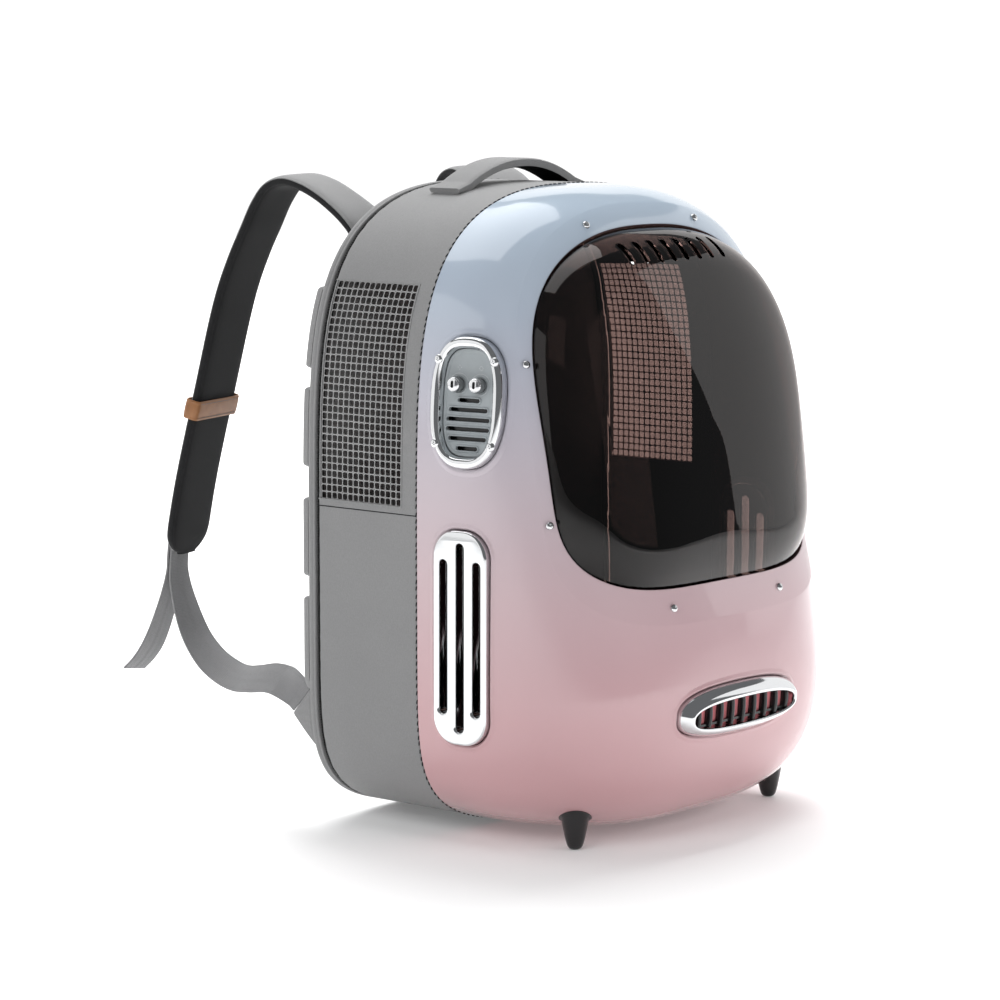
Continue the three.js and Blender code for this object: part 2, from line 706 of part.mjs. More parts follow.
function grilleSlats() {
  const front = GRILLE_RING.height - SLAT_RECESS;
  const depth = front + SKIRT_DEPTH;
  const { halfWidth, halfHeight, drop } = GRILLE_OPENING;
  const bars = [];
  for (let i = 0; i < SLAT_COUNT; i += 1) {
    const bar = new THREE.BoxGeometry(SLAT_WIDTH, 2.2 * halfHeight, depth);
    bars.push(bar.translate((i - (SLAT_COUNT - 1) / 2) * SLAT_PITCH, -drop, front - depth / 2));
  }
  const shelf = new THREE.BoxGeometry(2.2 * halfWidth, SHELF_THICKNESS, depth - SLAT_RECESS);
  shelf.translate(0, -drop - halfHeight * 0.62, front - SLAT_RECESS - (depth - SLAT_RECESS) / 2);
  const opening = prism(grilleOpening(-CLEARANCE, 0), -SKIRT_DEPTH, GRILLE_RING.height);
  const slats = intersect(unite([...bars, shelf]), opening);
  return subtract(slats.applyMatrix4(grilleFrame), [shellSeat]);
}

// Window screws and the bubble, the screws in the middle of the sunk band
function bandPoint(degrees, side, share) {
  const angle = THREE.MathUtils.degToRad(degrees);
  const target = {
    x: side * BODY_HEIGHT * Math.cos(angle),
    z: WINDOW_CENTRE_Z + BODY_HEIGHT * Math.sin(angle),
  };
  const band = onOval(BAND, target);
  const rim = onOval(RIM, target);
  const frame = frontFrame(lerp(band.x, rim.x, share), lerp(band.z, rim.z, share));
  return vec(0, 0, -BAND_SINK * share).applyMatrix4(frame);
}

const windowScrewFrames = WINDOW_SCREW_ANGLES.flatMap((degrees) => [1, -1].map((side) => {
  const inwards = bandPoint(degrees, side, 0.9).sub(bandPoint(degrees, side, 0.1)).normalize();
  const along = bandPoint(degrees + 3, side, 0.5).sub(bandPoint(degrees - 3, side, 0.5));
  const normal = along.clone().cross(inwards).multiplyScalar(side).normalize();
  const v = normal.clone().cross(inwards);
  return new THREE.Matrix4().makeBasis(inwards, v, normal)
    .setPosition(bandPoint(degrees, side, 0.5));
}));

const SCREW_REACH = 5.5;

function windowScrew(frame) {
  const lift = 3 * CLEARANCE;
  const head = roundHead(WINDOW_SCREW_RADIUS, WINDOW_SCREW_HEAD).translate(0, 0, lift);
  const shank = prism(ovalPoints(
    WINDOW_SCREW_SHANK, WINDOW_SCREW_SHANK, 2, 6, 0), -SHELL_WALL, lift + WINDOW_SCREW_HEAD / 4);
  return unite([head, shank]).applyMatrix4(frame);
}

function screwHole(frame) {
  const radius = WINDOW_SCREW_SHANK + CLEARANCE;
  return prism(ovalPoints(radius, radius, 2, 6, 0), -SCREW_REACH, SCREW_REACH).applyMatrix4(frame);
}

const BUBBLE_SHARES = [0.12, 0.42, 0.68, 0.83, 0.93, 1, BUBBLE_FLANGE_SHARE];
const bubbleSeat = BAND_SINK + SHELL_WALL + CLEARANCE + 0.1;

function bubbleRows(thickness) {
  const [low, high] = BUBBLE_PROUD;
  const rows = BUBBLE_SHARES.map((share) => rimLoop.map((rim) => {
    const x = rim.x * share;
    const z = lerp(WINDOW_CENTRE_Z, rim.z, share);
    return domePoint(x, frontDepth(x, z), z);
  }));
  const normals = rowNormals(rows, bodyMiddle);
  return rows.map((row, j) => row.map((point, i) => {
    const rim = rimLoop[i];
    const edge = (1 - BUBBLE_SHARES[j]) * Math.hypot(rim.x, rim.z - WINDOW_CENTRE_Z);
    const rise = 1 - (1 - clamp01(edge / BUBBLE_RISE_WIDTH)) ** 2.2;
    const height = clamp01((point.z - low.z) / (high.z - low.z));
    const proud = lerp(low.distance, high.distance, height);
    const distance = lerp(-bubbleSeat, proud, rise) - thickness;
    return point.clone().addScaledVector(normals[j][i], distance);
  }));
}

function bubbleWindow() {
  const outer = bubbleRows(0);
  const inner = bubbleRows(BUBBLE_WALL);
  const bubble = loftSolid([...outer, ...inner.reverse()]);
  const cutters = [];
  for (let i = 0; i < AIR_SLOT_COUNT; i += 1) {
    const x = (i - (AIR_SLOT_COUNT - 1) / 2) * AIR_SLOT_PITCH;
    const shape = new THREE.Shape(slotShape(0, 0, AIR_SLOT_LENGTH, AIR_SLOT_WIDTH).getPoints(2));
    const slot = new THREE.ExtrudeGeometry(shape, { depth: 30, bevelEnabled: false });
    slot.translate(0, 0, -5).rotateZ(Math.PI / 2);
    cutters.push(slot.applyMatrix4(frontFrame(x, AIR_SLOT_Z)));
  }
  return subtract(bubble, cutters);
}

function frontShell() {
  const body = ringSolid([...movedShellRows(0), ...movedShellRows(-SHELL_WALL).reverse()]);
  const hole = prism(ovalPoints(
    plateHalfWidth + 2 * CLEARANCE, plateHalfHeight + 2 * CLEARANCE, PANEL_PLATE.power, PANEL_SIDES, 0,
  ), -3 * SKIRT_DEPTH, SKIRT_DEPTH).applyMatrix4(panelFrame);
  const ventHoles = [-1, 1].map((side) => {
    const shape = roundedShape(
      VENT.halfWidth - VENT.lip, VENT.halfHeight - VENT.lip, VENT.corner - VENT.lip);
    const cutter = new THREE.ExtrudeGeometry(shape, {
      depth: 4 * SKIRT_DEPTH, bevelEnabled: false, curveSegments: 3,
    });
    cutter.translate(0, 0, -3 * SKIRT_DEPTH);
    return cutter.applyMatrix4(sideFrame(side, VENT_Y, VENT_Z));
  });
  return subtract(body, [hole, ...ventHoles, ...windowScrewFrames.map(screwHole)]);
}

// Fabric middle, with an opening on each side for its mesh window
function fabricBody() {
  const rows = [FABRIC_FRONT_Y, FABRIC_BACK_Y].map((y) => outlineRow(0, y));
  const inner = [FABRIC_BACK_Y, FABRIC_FRONT_Y].map((y) => outlineRow(FABRIC_WALL, y));
  const cutter = new THREE.BoxGeometry(3 * BODY_HALF_WIDTH, 2 * MESH.halfDepth, MESH.top - MESH.bottom);
  cutter.translate(0, MESH.middleY, (MESH.top + MESH.bottom) / 2);
  return subtract(ringSolid([...rows, ...inner]), [cutter]);
}

// A sheet on a grid of lines, with a wall round its edge and round every gap
function piercedSheet(uLines, vLines, pointAt) {
  const points = [];
  const lookup = (i, j, face) => (face * vLines.length + j) * uLines.length + i;
  [0, 1].forEach((face) => vLines.forEach((v) => uLines.forEach((u) => {
    points.push(pointAt(u, v, face));
  })));
  const solidCell = (i, j) => i >= 0 && j >= 0 && i < uLines.length - 1 && j < vLines.length - 1
    && (i % 2 === 0 || j % 2 === 0);
  const triangles = [];
  const quad = (a, b, c, d) => triangles.push([a, b, c], [a, c, d]);
  for (let j = 0; j < vLines.length - 1; j += 1) {
    for (let i = 0; i < uLines.length - 1; i += 1) {
      if (solidCell(i, j)) {
        quad(lookup(i, j, 0), lookup(i + 1, j, 0), lookup(i + 1, j + 1, 0), lookup(i, j + 1, 0));
        quad(lookup(i, j, 1), lookup(i, j + 1, 1), lookup(i + 1, j + 1, 1), lookup(i + 1, j, 1));
        const sides = [
          [[i, j], [i + 1, j], [i, j - 1]],
          [[i + 1, j], [i + 1, j + 1], [i + 1, j]],
          [[i + 1, j + 1], [i, j + 1], [i, j + 1]],
          [[i, j + 1], [i, j], [i - 1, j]],
        ];
        sides.forEach(([from, to, neighbour]) => {
          if (!solidCell(...neighbour)) {
            quad(lookup(...from, 0), lookup(...from, 1), lookup(...to, 1), lookup(...to, 0));
          }
        });
      }
    }
  }
  return closedGeometry(points, triangles);
}

// Lines either side of every bar: bar, gap, bar, and so on
function barLines(low, high, gaps, bar) {
  const gap = (high - low - (gaps + 1) * bar) / gaps;
  return Array.from({ length: 2 * gaps + 2 }, (_, i) => (
    low + Math.floor(i / 2) * (bar + gap) + (i % 2) * bar));
}

function meshPanel(side) {
  const reach = MESH.halfDepth - CLEARANCE;
  const yLines = barLines(MESH.middleY - reach, MESH.middleY + reach, MESH.columns, MESH_BAR);
  const zLines = barLines(MESH.bottom + CLEARANCE, MESH.top - CLEARANCE, MESH.rows, MESH_BAR);
  return piercedSheet(yLines, zLines, (y, z, face) => {
    const inset = MESH.inset + face * MESH.thickness;
    return vec(side * (bodyHalfWidth(z) - inset), y, z);
  });
}

// Back: black piping, the padded board and its cushions
function seamPiping() {
  const near = PIPING_INSET;
  const far = PIPING_RADIAL;
  return ringSolid([
    outlineRow(near, PIPING_FRONT_Y),
    outlineRow(near, PIPING_BACK_Y),
    outlineRow(far, PIPING_BACK_Y),
    outlineRow(far, PIPING_FRONT_Y),
  ]);
}

function backPanel() {
  return loftSolid([
    outlineRow(0, BACK_FRONT_Y),
    outlineRow(0, BACK_Y - BACK_EDGE_ROUND),
    outlineRow(BACK_EDGE_ROUND, BACK_Y),
  ]);
}

// A cushion whose ends follow the outline
function backPad({ bottom, top }) {
  const row = (inset, y) => {
    const low = bottom * BODY_HEIGHT + inset;
    const high = top * BODY_HEIGHT - inset;
    const steps = 4;
    const heights = Array.from({ length: steps + 1 }, (_, i) => lerp(low, high, i / steps));
    const corner = (i) => (i === 0 || i === steps ? 3 : 0);
    const edge = heights.map((z, i) => ({ x: bodyHalfWidth(z) - PAD_INSET - inset - corner(i), z }));
    const right = edge.map(({ x, z }) => vec(x, y, z));
    const left = [...edge].reverse().map(({ x, z }) => vec(-x, y, z));
    return [...right, ...left];
  };
  const seat = BACK_Y + CLEARANCE;
  return loftSolid([
    row(0, seat),
    row(0, seat + PAD_THICKNESS - PAD_EDGE_ROUND),
    row(PAD_EDGE_ROUND, seat + PAD_THICKNESS),
  ]);
}

// Flat bands: a section swept through points, each with the direction of the band's width
function bandSection(width, thickness, crown = 0) {
  const half = width / 2;
  const deep = thickness / 2;
  if (thickness < THIN_BAND) return [[-half, -deep], [half, -deep], [half, deep], [-half, deep]];
  const chamfer = Math.min(thickness * 0.35, half * 0.5);
  const shoulder = crown > 0 ? half / 2 : half - chamfer;
  return [
    [-half, -deep + chamfer], [-half + chamfer, -deep], [half - chamfer, -deep],
    [half, -deep + chamfer], [half, deep - chamfer], [shoulder, deep + crown],
    [-shoulder, deep + crown], [-half, deep - chamfer],
  ];
}

function sweepBand(stations, thickness, crown = 0) {
  const rows = stations.map((station, i) => {
    const before = stations[Math.max(i - 1, 0)].point;
    const after = stations[Math.min(i + 1, stations.length - 1)].point;
    const forward = after.clone().sub(before).normalize();
    const across = station.across.clone();
    across.addScaledVector(forward, -across.dot(forward)).normalize();
    const out = across.clone().cross(forward);
    return bandSection(station.width, thickness, crown).map(([a, b]) => (
      station.point.clone().addScaledVector(across, a).addScaledVector(out, b)));
  });
  return loftSolid(rows);
}

// More stations between chosen ones, on a smooth curve
function smoothStations(stations, count) {
  const curve = new THREE.CatmullRomCurve3(stations.map(({ point }) => point), false, 'centripetal');
  return Array.from({ length: count + 1 }, (_, k) => {
    const t = k / count;
    const place = t * (stations.length - 1);
    const i = Math.min(Math.floor(place), stations.length - 2);
    const share = place - i;
    return {
      point: curve.getPoint(t),
      across: stations[i].across.clone().lerp(stations[i + 1].across, share).normalize(),
      width: lerp(stations[i].width, stations[i + 1].width, share),
    };
  });
}

// Carry handle on top of the fabric
function carryHandle() {
  const steps = 14;
  const overlap = 6;
  const half = HANDLE_SPAN / 2 + overlap;
  const stations = Array.from({ length: steps + 1 }, (_, i) => {
    const x = lerp(-half, half, i / steps);
    const arch = 1 - Math.abs(x / (HANDLE_SPAN / 2)) ** 2.1;
    const z = upperOutlineZ(HANDLE_SPAN / 2) + HANDLE_RISE * arch;
    return { point: vec(x, HANDLE_Y, z), across: vec(0, -1, 0), width: HANDLE_WIDTH };
  });
  const bodySeat = loftSolid([outlineRow(-CLEARANCE, FABRIC_FRONT_Y), outlineRow(-CLEARANCE, FABRIC_BACK_Y)]);
  return subtract(sweepBand(stations, HANDLE_THICKNESS, HANDLE_CROWN), [bodySeat]);
}

// Shoulder straps; side is -1 on the left and 1 on the right
const planAngle = THREE.MathUtils.degToRad(STRAP_PLAN_ANGLE);
const strapSeatY = BACK_Y + CLEARANCE + STRAP_THICKNESS / 2;

function strapPoint(side, reach, z) {
  const away = reach * Math.sin(planAngle);
  return vec(side * (STRAP_X + away), strapSeatY + reach * Math.cos(planAngle), z);
}

function strapStations(side) {
  return STRAP_ROUTE.map(({ reach, height, turn, width }) => {
    const angle = planAngle * turn;
    return {
      point: strapPoint(side, reach * STRAP_REACH, height * BODY_HEIGHT),
      across: vec(-side * Math.cos(angle), Math.sin(angle), 0),
      width: STRAP_WIDTH * width,
    };
  });
}

// The strap's first stretch lies on the back's face
function strapPad(side) {
  const stations = smoothStations(strapStations(side), 22);
  stations.forEach(({ point }) => point.setY(Math.max(point.y, strapSeatY)));
  return sweepBand(stations, STRAP_THICKNESS);
}

// The place on a strap at a given height of its long falling stretch
function strapAt(side, z) {
  const fine = smoothStations(strapStations(side), 400);
  const from = fine.findIndex(({ point }) => point.z === Math.max(...fine.map((s) => s.point.z)));
  const index = fine.findIndex((station, i) => i > from && station.point.z <= z);
  const forward = fine[index + 1].point.clone().sub(fine[index - 1].point).normalize();
  const across = fine[index].across.clone();
  const back = across.clone().cross(forward);
  if (back.y < 0) back.negate();
  return { point: fine[index].point, across, forward, back };
}

function strapKeeper(side) {
  const { point, across, forward, back } = strapAt(side, KEEPER_HEIGHT_SHARE * BODY_HEIGHT);
  const loop = (grow, shift) => bandSection(
    STRAP_WIDTH + 2 * grow, STRAP_THICKNESS + 2 * grow).map(([a, b]) => point.clone()
    .addScaledVector(across, a).addScaledVector(back, b).addScaledVector(forward, shift));
  const near = 2 * CLEARANCE;
  const far = near + KEEPER_THICKNESS;
  const half = KEEPER_WIDTH / 2;
  return ringSolid([loop(far, -half), loop(far, half), loop(near, half), loop(near, -half)]);
}

const strapEndZ = STRAP_ROUTE[STRAP_ROUTE.length - 1].height * BODY_HEIGHT;

// The two layers that are sewn on the outer face of a strap's end: webbing, then its free tail
function sewnPoint(side, layer, share) {
  const z = strapEndZ + lerp(WEB_SEWN_LENGTH, 1, share);
  const { point, back } = strapAt(side, z);
  const lift = STRAP_THICKNESS / 2 + CLEARANCE + WEB_THICKNESS / 2
    + layer * (WEB_THICKNESS + 3 * CLEARANCE);
  return point.clone().addScaledVector(back, lift);
}

function tabHalfWidth(z) {
  return bodyHalfWidth(z) - BACK_EDGE_ROUND - 0.2;
}

function webStations(side) {
  const start = sewnPoint(side, 0, 1);
  const seat = BACK_Y + CLEARANCE;
  const slant = Math.hypot(TAB.reach, TAB.top - TAB.tipZ);
  const off = vec(0, (TAB.top - TAB.tipZ) / slant, TAB.reach / slant);
  const along = vec(0, -TAB.reach / slant, (TAB.top - TAB.tipZ) / slant);
  const middle = vec(
    side * (tabHalfWidth(TAB.tipZ) - TAB.thickness / 2),
    seat + TAB.reach / 2,
    (TAB.top + TAB.tipZ) / 2,
  );
  const end = middle.clone().addScaledVector(off, 3 * CLEARANCE);
  const approach = [WEB_WIDTH / 3, 0].map((distance) => ({
    point: end.clone().addScaledVector(off, distance), across: along.clone().negate(), width: WEB_WIDTH,
  }));
  const sewnAcross = vec(-side * Math.cos(planAngle), Math.sin(planAngle), 0);
  const sewn = [0, 0.5, 1].map((share) => ({
    point: sewnPoint(side, 0, share), across: sewnAcross, width: WEB_WIDTH,
  }));
  const free = WEB_ROUTE.map(({ x, y, z, across }) => ({
    point: vec(lerp(start.x, end.x, x), lerp(start.y, end.y, y), lerp(start.z, end.z, z)),
    across: vec(side * across[0], across[1], across[2]),
    width: WEB_WIDTH,
  }));
  return [...sewn, ...free, ...approach];
}

const strapWebbing = (side) => sweepBand(smoothStations(webStations(side), 26), WEB_THICKNESS);

function strapTail(side) {
  const start = sewnPoint(side, 1, 1);
  const across = vec(-side * Math.cos(planAngle), Math.sin(planAngle), 0);
  const sewn = [0, 0.5, 1].map((share) => ({
    point: sewnPoint(side, 1, share), across, width: WEB_WIDTH,
  }));
  const free = TAIL_ROUTE.map(({ reach, fall }) => ({
    point: start.clone().add(vec(
      side * Math.sin(planAngle) * reach * TAIL_REACH, reach * TAIL_REACH, -fall * TAIL_FALL)),
    across,
    width: WEB_WIDTH,
  }));
  return sweepBand(smoothStations([...sewn, ...free], 13), WEB_THICKNESS);
}

function strapTab(side) {
  const seat = BACK_Y + CLEARANCE;
  const corners = [
    { y: seat, z: TAB.top },
    { y: seat, z: TAB.bottom },
    { y: seat + TAB.reach, z: TAB.tipZ },
  ];
  const face = (depth) => corners.map(({ y, z }) => vec(side * (tabHalfWidth(z) - depth), y, z));
  return loftSolid([face(0), face(TAB.thickness)]);
}

// Front feet, tapered, cut to the shell's underside
function foot(side) {
  const sides = 10;
  const profile = [
    { radius: 0.55, height: 0 },
    { radius: 0.95, height: 0.03 },
    { radius: 1.1, height: 0.1 },
  ];
  const rows = profile.map(({ radius, height }) => ovalPoints(
    radius * FOOT_TIP_RADIUS, radius * FOOT_TIP_RADIUS, 2, sides, height * FOOT_HEIGHT));
  rows.push(ovalPoints(FOOT_TOP_RADIUS, FOOT_TOP_RADIUS, 2, sides, FOOT_HEIGHT));
  return subtract(loftSolid(rows).translate(side * FOOT_X, FOOT_Y, 0), [shellSeat]);
}

// The assembly
addPiece('front_shell', frontShell(), SHELL_GLOSS);
addPiece('bubble_window', bubbleWindow(), WINDOW_TINT);
windowScrewFrames.forEach((frame, i) => {
  addPiece(`window_screw_${i + 1}`, windowScrew(frame), CHROME);
});
addPiece('control_ring', controlRing(), CHROME);
addPiece('control_plate', controlPlate(), PANEL_GREY);
addPiece('knob_rear', knobSolid(knobPlaces[0]), CHROME);
addPiece('knob_front', knobSolid(knobPlaces[1]), CHROME);
[[-1, 1], [1, 1], [1, -1], [-1, -1]].forEach(([u, v], i) => {
  const head = roundHead(PANEL_SCREW.radius, PANEL_SCREW.head);
  head.translate(u * PANEL_SCREW.u, v * PANEL_SCREW.v, PANEL_RING.height + CLEARANCE);
  addPiece(`panel_screw_${i + 1}`, head.applyMatrix4(panelFrame), CHROME);
});
addPiece('grille_ring', grilleRing(), CHROME);
addPiece('grille_slats', grilleSlats(), BLACK_PLASTIC);
addPiece('fabric_body', fabricBody(), CANVAS);
addPiece('seam_piping', seamPiping(), BLACK_TAPE);
addPiece('back_panel', backPanel(), PADDING);
BACK_PADS.forEach((pad, i) => addPiece(`back_pad_${i + 1}`, backPad(pad), PADDING));
addPiece('carry_handle', carryHandle(), PADDING);
[[-1, 'left'], [1, 'right']].forEach(([side, word]) => {
  addPiece(`side_vent_${word}`, sideVent(side), CHROME);
  addPiece(`mesh_panel_${word}`, meshPanel(side), CANVAS);
  addPiece(`foot_${word}`, foot(side), BLACK_PLASTIC);
  addPiece(`strap_pad_${word}`, strapPad(side), STRAP_LINING);
  addPiece(`strap_keeper_${word}`, strapKeeper(side), TAN_LEATHER);
  addPiece(`strap_webbing_${word}`, strapWebbing(side), STRAP_LINING);
  addPiece(`strap_tail_${word}`, strapTail(side), STRAP_LINING);
  addPiece(`strap_tab_${word}`, strapTab(side), PADDING);
});

export default model;
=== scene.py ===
# Looks of the bubble pet carrier backpack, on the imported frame.
# Shapes are worked out in millimetres and become metres when a mesh is made.
import math

import bmesh
import bpy
import numpy as np
from mathutils import Matrix, Vector


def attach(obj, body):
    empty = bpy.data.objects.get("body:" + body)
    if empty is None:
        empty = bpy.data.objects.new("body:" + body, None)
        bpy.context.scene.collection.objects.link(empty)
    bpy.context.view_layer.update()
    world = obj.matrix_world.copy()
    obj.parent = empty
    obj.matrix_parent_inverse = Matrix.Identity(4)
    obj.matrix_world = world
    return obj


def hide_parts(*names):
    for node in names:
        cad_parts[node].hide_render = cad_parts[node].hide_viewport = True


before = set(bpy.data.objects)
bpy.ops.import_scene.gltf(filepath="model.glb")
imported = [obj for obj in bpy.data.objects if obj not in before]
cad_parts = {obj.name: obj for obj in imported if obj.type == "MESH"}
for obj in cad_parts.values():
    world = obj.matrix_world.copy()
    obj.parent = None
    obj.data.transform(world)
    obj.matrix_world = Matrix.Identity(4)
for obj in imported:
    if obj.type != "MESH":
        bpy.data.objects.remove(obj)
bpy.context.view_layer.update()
MM = 0.001

# Sizes shared with the solids
HEIGHT = 450.0
HALF_WIDTH = 167.0
CLEARANCE = 0.3
SEAM_Y = -52.0
FABRIC_FRONT_Y = SEAM_Y + CLEARANCE
FABRIC_BACK_Y = FABRIC_FRONT_Y + 91.6
PIPING_FRONT_Y = FABRIC_BACK_Y + CLEARANCE
PIPING_BACK_Y = PIPING_FRONT_Y + 2.6
BACK_FRONT_Y = PIPING_BACK_Y + CLEARANCE
BACK_Y = BACK_FRONT_Y + 7.5
DOME_DEPTH = 151.3
DOME_Z = 0.24 * HEIGHT
BELLY_LIFT = 15.0
SHELL_WALL = 2.5
WINDOW_CENTRE_Z = 0.6333 * HEIGHT
BAND_SINK = 4.0
BUBBLE_WALL = 2.0


# Body outline and dome, as in the solids
def oval(half, wide, up, down, upper, lower):
    return dict(half=half, wide=wide, up=up, down=down, upper=upper, lower=lower)


WIDEST_Z = 0.3956 * HEIGHT
BASE_FLAT = 0.2934 * HALF_WIDTH
BODY = oval(HALF_WIDTH, WIDEST_Z, HEIGHT - WIDEST_Z,
            WIDEST_Z / (1 - (BASE_FLAT / HALF_WIDTH) ** 2.58) ** (1 / 6.57), (2.55, 4.7), (2.58, 6.57))
RIM = oval(0.8563 * HALF_WIDTH, 0.6 * HEIGHT, 0.3467 * HEIGHT, 0.2044 * HEIGHT, (2.4, 3.6), (4, 5))
BAND = oval(RIM["half"] + 6, RIM["wide"], RIM["up"] + 12.5, RIM["down"] + 25.5, (2.4, 3.6), (4, 5))


def oval_half_width(shape, z):
    z = np.asarray(z, float)
    rising = z >= shape["wide"]
    share = np.where(rising, (z - shape["wide"]) / shape["up"], (shape["wide"] - z) / shape["down"])
    m = np.where(rising, shape["upper"][0], shape["lower"][0])
    n = np.where(rising, shape["upper"][1], shape["lower"][1])
    return shape["half"] * (1 - np.clip(share, 0, 1) ** n) ** (1 / m)


def body_half_width(z):
    return oval_half_width(BODY, np.maximum(z, 0))


def boundary(inside, low, high, steps=42):
    """The last place between low, where inside() holds, and high."""
    low, high = np.array(low, float), np.array(high, float)
    low, high = np.broadcast_arrays(low, high)
    for _ in range(steps):
        middle = (low + high) / 2
        keep = inside(middle)
        low, high = np.where(keep, middle, low), np.where(keep, high, middle)
    return low


def dome_middle_depth(z):
    rising = z >= DOME_Z
    share = np.clip(np.where(rising, (z - DOME_Z) / (HEIGHT - DOME_Z), (DOME_Z - z) / DOME_Z), 0, 1)
    return DOME_DEPTH * np.where(rising, (1 - share ** 1.09) ** (1 / 3.24), (1 - share ** 1.9) ** (1 / 9))


def dome_value(x, depth, z):
    """Below zero inside the dome, above zero outside."""
    x, depth, z = (np.asarray(v, float) for v in (x, depth, z))
    lift = BELLY_LIFT * (depth / DOME_DEPTH) ** 2
    level = np.where(z < DOME_Z, (z - lift) / (1 - lift / DOME_Z), z)
    out = (level < 0) | (level >= HEIGHT)
    safe = np.clip(level, 0, HEIGHT - 1e-6)
    power = 3.59 + (3.09 - 3.59) * safe / HEIGHT
    across = (np.abs(x) / body_half_width(safe)) ** power
    value = across + (np.maximum(depth, 0) / np.maximum(dome_middle_depth(safe), 1e-6)) ** power - 1
    return np.where(out, 10.0, value)


def front_depth(x, z):
    return boundary(lambda depth: dome_value(x, depth, z) < 0, np.zeros(np.shape(x)), DOME_DEPTH + 20)


def dome_gradient(points):
    x, y, z = points[..., 0], points[..., 1], points[..., 2]
    depth, e = SEAM_Y - y, 0.4
    g = np.stack([dome_value(x + e, depth, z) - dome_value(x - e, depth, z),
                  dome_value(x, depth - e, z) - dome_value(x, depth + e, z),
                  dome_value(x, depth, z + e) - dome_value(x, depth, z - e)], -1)
    return g / np.maximum(np.linalg.norm(g, axis=-1, keepdims=True), 1e-9)


def outline(columns):
    """The body's outline from the middle of the base round by the right side, as x and z."""
    t = np.linspace(0, 1, 1500)
    angle = (math.pi / 2) * (1 - t)
    z = BODY["wide"] - BODY["down"] * np.sin(angle) ** (2 / 6.57)
    x = BODY["half"] * np.cos(angle) ** (2 / 2.58)
    keep = z > 0.02
    flat_x = np.linspace(0, BASE_FLAT, 60)
    x, z = np.concatenate([flat_x, x[keep]]), np.concatenate([0 * flat_x, z[keep]])
    angle = (math.pi / 2) * t[1:]
    x = np.concatenate([x, BODY["half"] * np.abs(np.cos(angle)) ** (2 / 2.55)])
    z = np.concatenate([z, BODY["wide"] + BODY["up"] * np.sin(angle) ** (2 / 4.7)])
    x[-1] = 0
    dx, dz = np.diff(x), np.diff(z)
    heading = np.unwrap(np.arctan2(dz, dx))
    turn = np.concatenate([[0], np.abs(np.diff(heading))])
    measure = np.concatenate([[0], np.cumsum(np.hypot(dx, dz) / 9 + np.minimum(turn, 0.2) / 0.09)])
    wanted = np.linspace(0, measure[-1], columns // 2 + 1)
    right = np.stack([np.interp(wanted, measure, x), np.interp(wanted, measure, z)], 1)
    left = right[1:-1][::-1] * [-1, 1]
    return np.concatenate([right, left])


def inset_outline(loop, distance):
    along = np.roll(loop, -1, 0) - np.roll(loop, 1, 0)
    along /= np.linalg.norm(along, axis=1, keepdims=True)
    return loop - np.stack([along[:, 1], -along[:, 0]], 1) * np.reshape(distance, (-1, 1))


def outline_row(loop, inset, y):
    moved = inset_outline(loop, inset)
    return np.stack([moved[:, 0], np.full(len(loop), float(y)), moved[:, 1]], 1)


def on_oval(shape, target):
    """Where the lines from the window's centre to target points leave an oval, as x and z."""
    def at(t):
        return target[:, 0] * t, WINDOW_CENTRE_Z + (target[:, 1] - WINDOW_CENTRE_Z) * t

    def inside(t):
        x, z = at(t)
        within = (z < shape["wide"] + shape["up"]) & (z > shape["wide"] - shape["down"])
        return within & (np.abs(x) < oval_half_width(shape, z))
    return np.stack(at(boundary(inside, np.zeros(len(target)), 1)), 1)


def smooth_step(t):
    t = np.clip(t, 0, 1)
    return t * t * (3 - 2 * t)


# Meshes
def normalise(vectors):
    return vectors / np.maximum(np.linalg.norm(vectors, axis=-1, keepdims=True), 1e-12)


def make_object(name, points, faces, uvs=None):
    mesh = bpy.data.meshes.new(name)
    mesh.from_pydata((np.asarray(points, float) * MM).tolist(), [], faces)
    if uvs is not None:
        layer = mesh.uv_layers.new(name="cloth")
        index = np.empty(len(mesh.loops), int)
        mesh.loops.foreach_get("vertex_index", index)
        layer.data.foreach_set("uv", (np.asarray(uvs, float)[index] * MM).ravel())
    mesh.validate()
    obj = bpy.data.objects.new(name, mesh)
    bpy.context.scene.collection.objects.link(obj)
    return obj


def grid_faces(rows, columns, close_rows, close_columns):
    faces = []
    for j in range(rows if close_rows else rows - 1):
        for i in range(columns if close_columns else columns - 1):
            j2, i2 = (j + 1) % rows, (i + 1) % columns
            faces.append((j * columns + i, j * columns + i2, j2 * columns + i2, j2 * columns + i))
    return faces


def grid_uvs(rows):
    """Lengths along the rows and across them, in millimetres."""
    count_rows, count_columns = rows.shape[:2]
    across = np.linalg.norm(np.diff(rows, axis=1), axis=2).mean(0)
    along = np.linalg.norm(np.diff(rows, axis=0), axis=2).mean(1)
    u = np.concatenate([[0], np.cumsum(across)])
    v = np.concatenate([[0], np.cumsum(along)])
    return np.stack(np.meshgrid(u, v), -1).reshape(count_rows * count_columns, 2)


def grid_object(name, rows, close_rows=False, close_columns=True, caps=False, crease=40):
    rows = np.asarray(rows, float)
    count_rows, count_columns = rows.shape[:2]
    points, uvs = rows.reshape(-1, 3), grid_uvs(rows)
    faces = grid_faces(count_rows, count_columns, close_rows, close_columns)
    if caps:
        faces.append(tuple(range(count_columns)))
        faces.append(tuple(range((count_rows - 1) * count_columns, count_rows * count_columns))[::-1])
    obj = make_object(name, points, faces, uvs)
    tidy_mesh(obj, crease)
    return obj


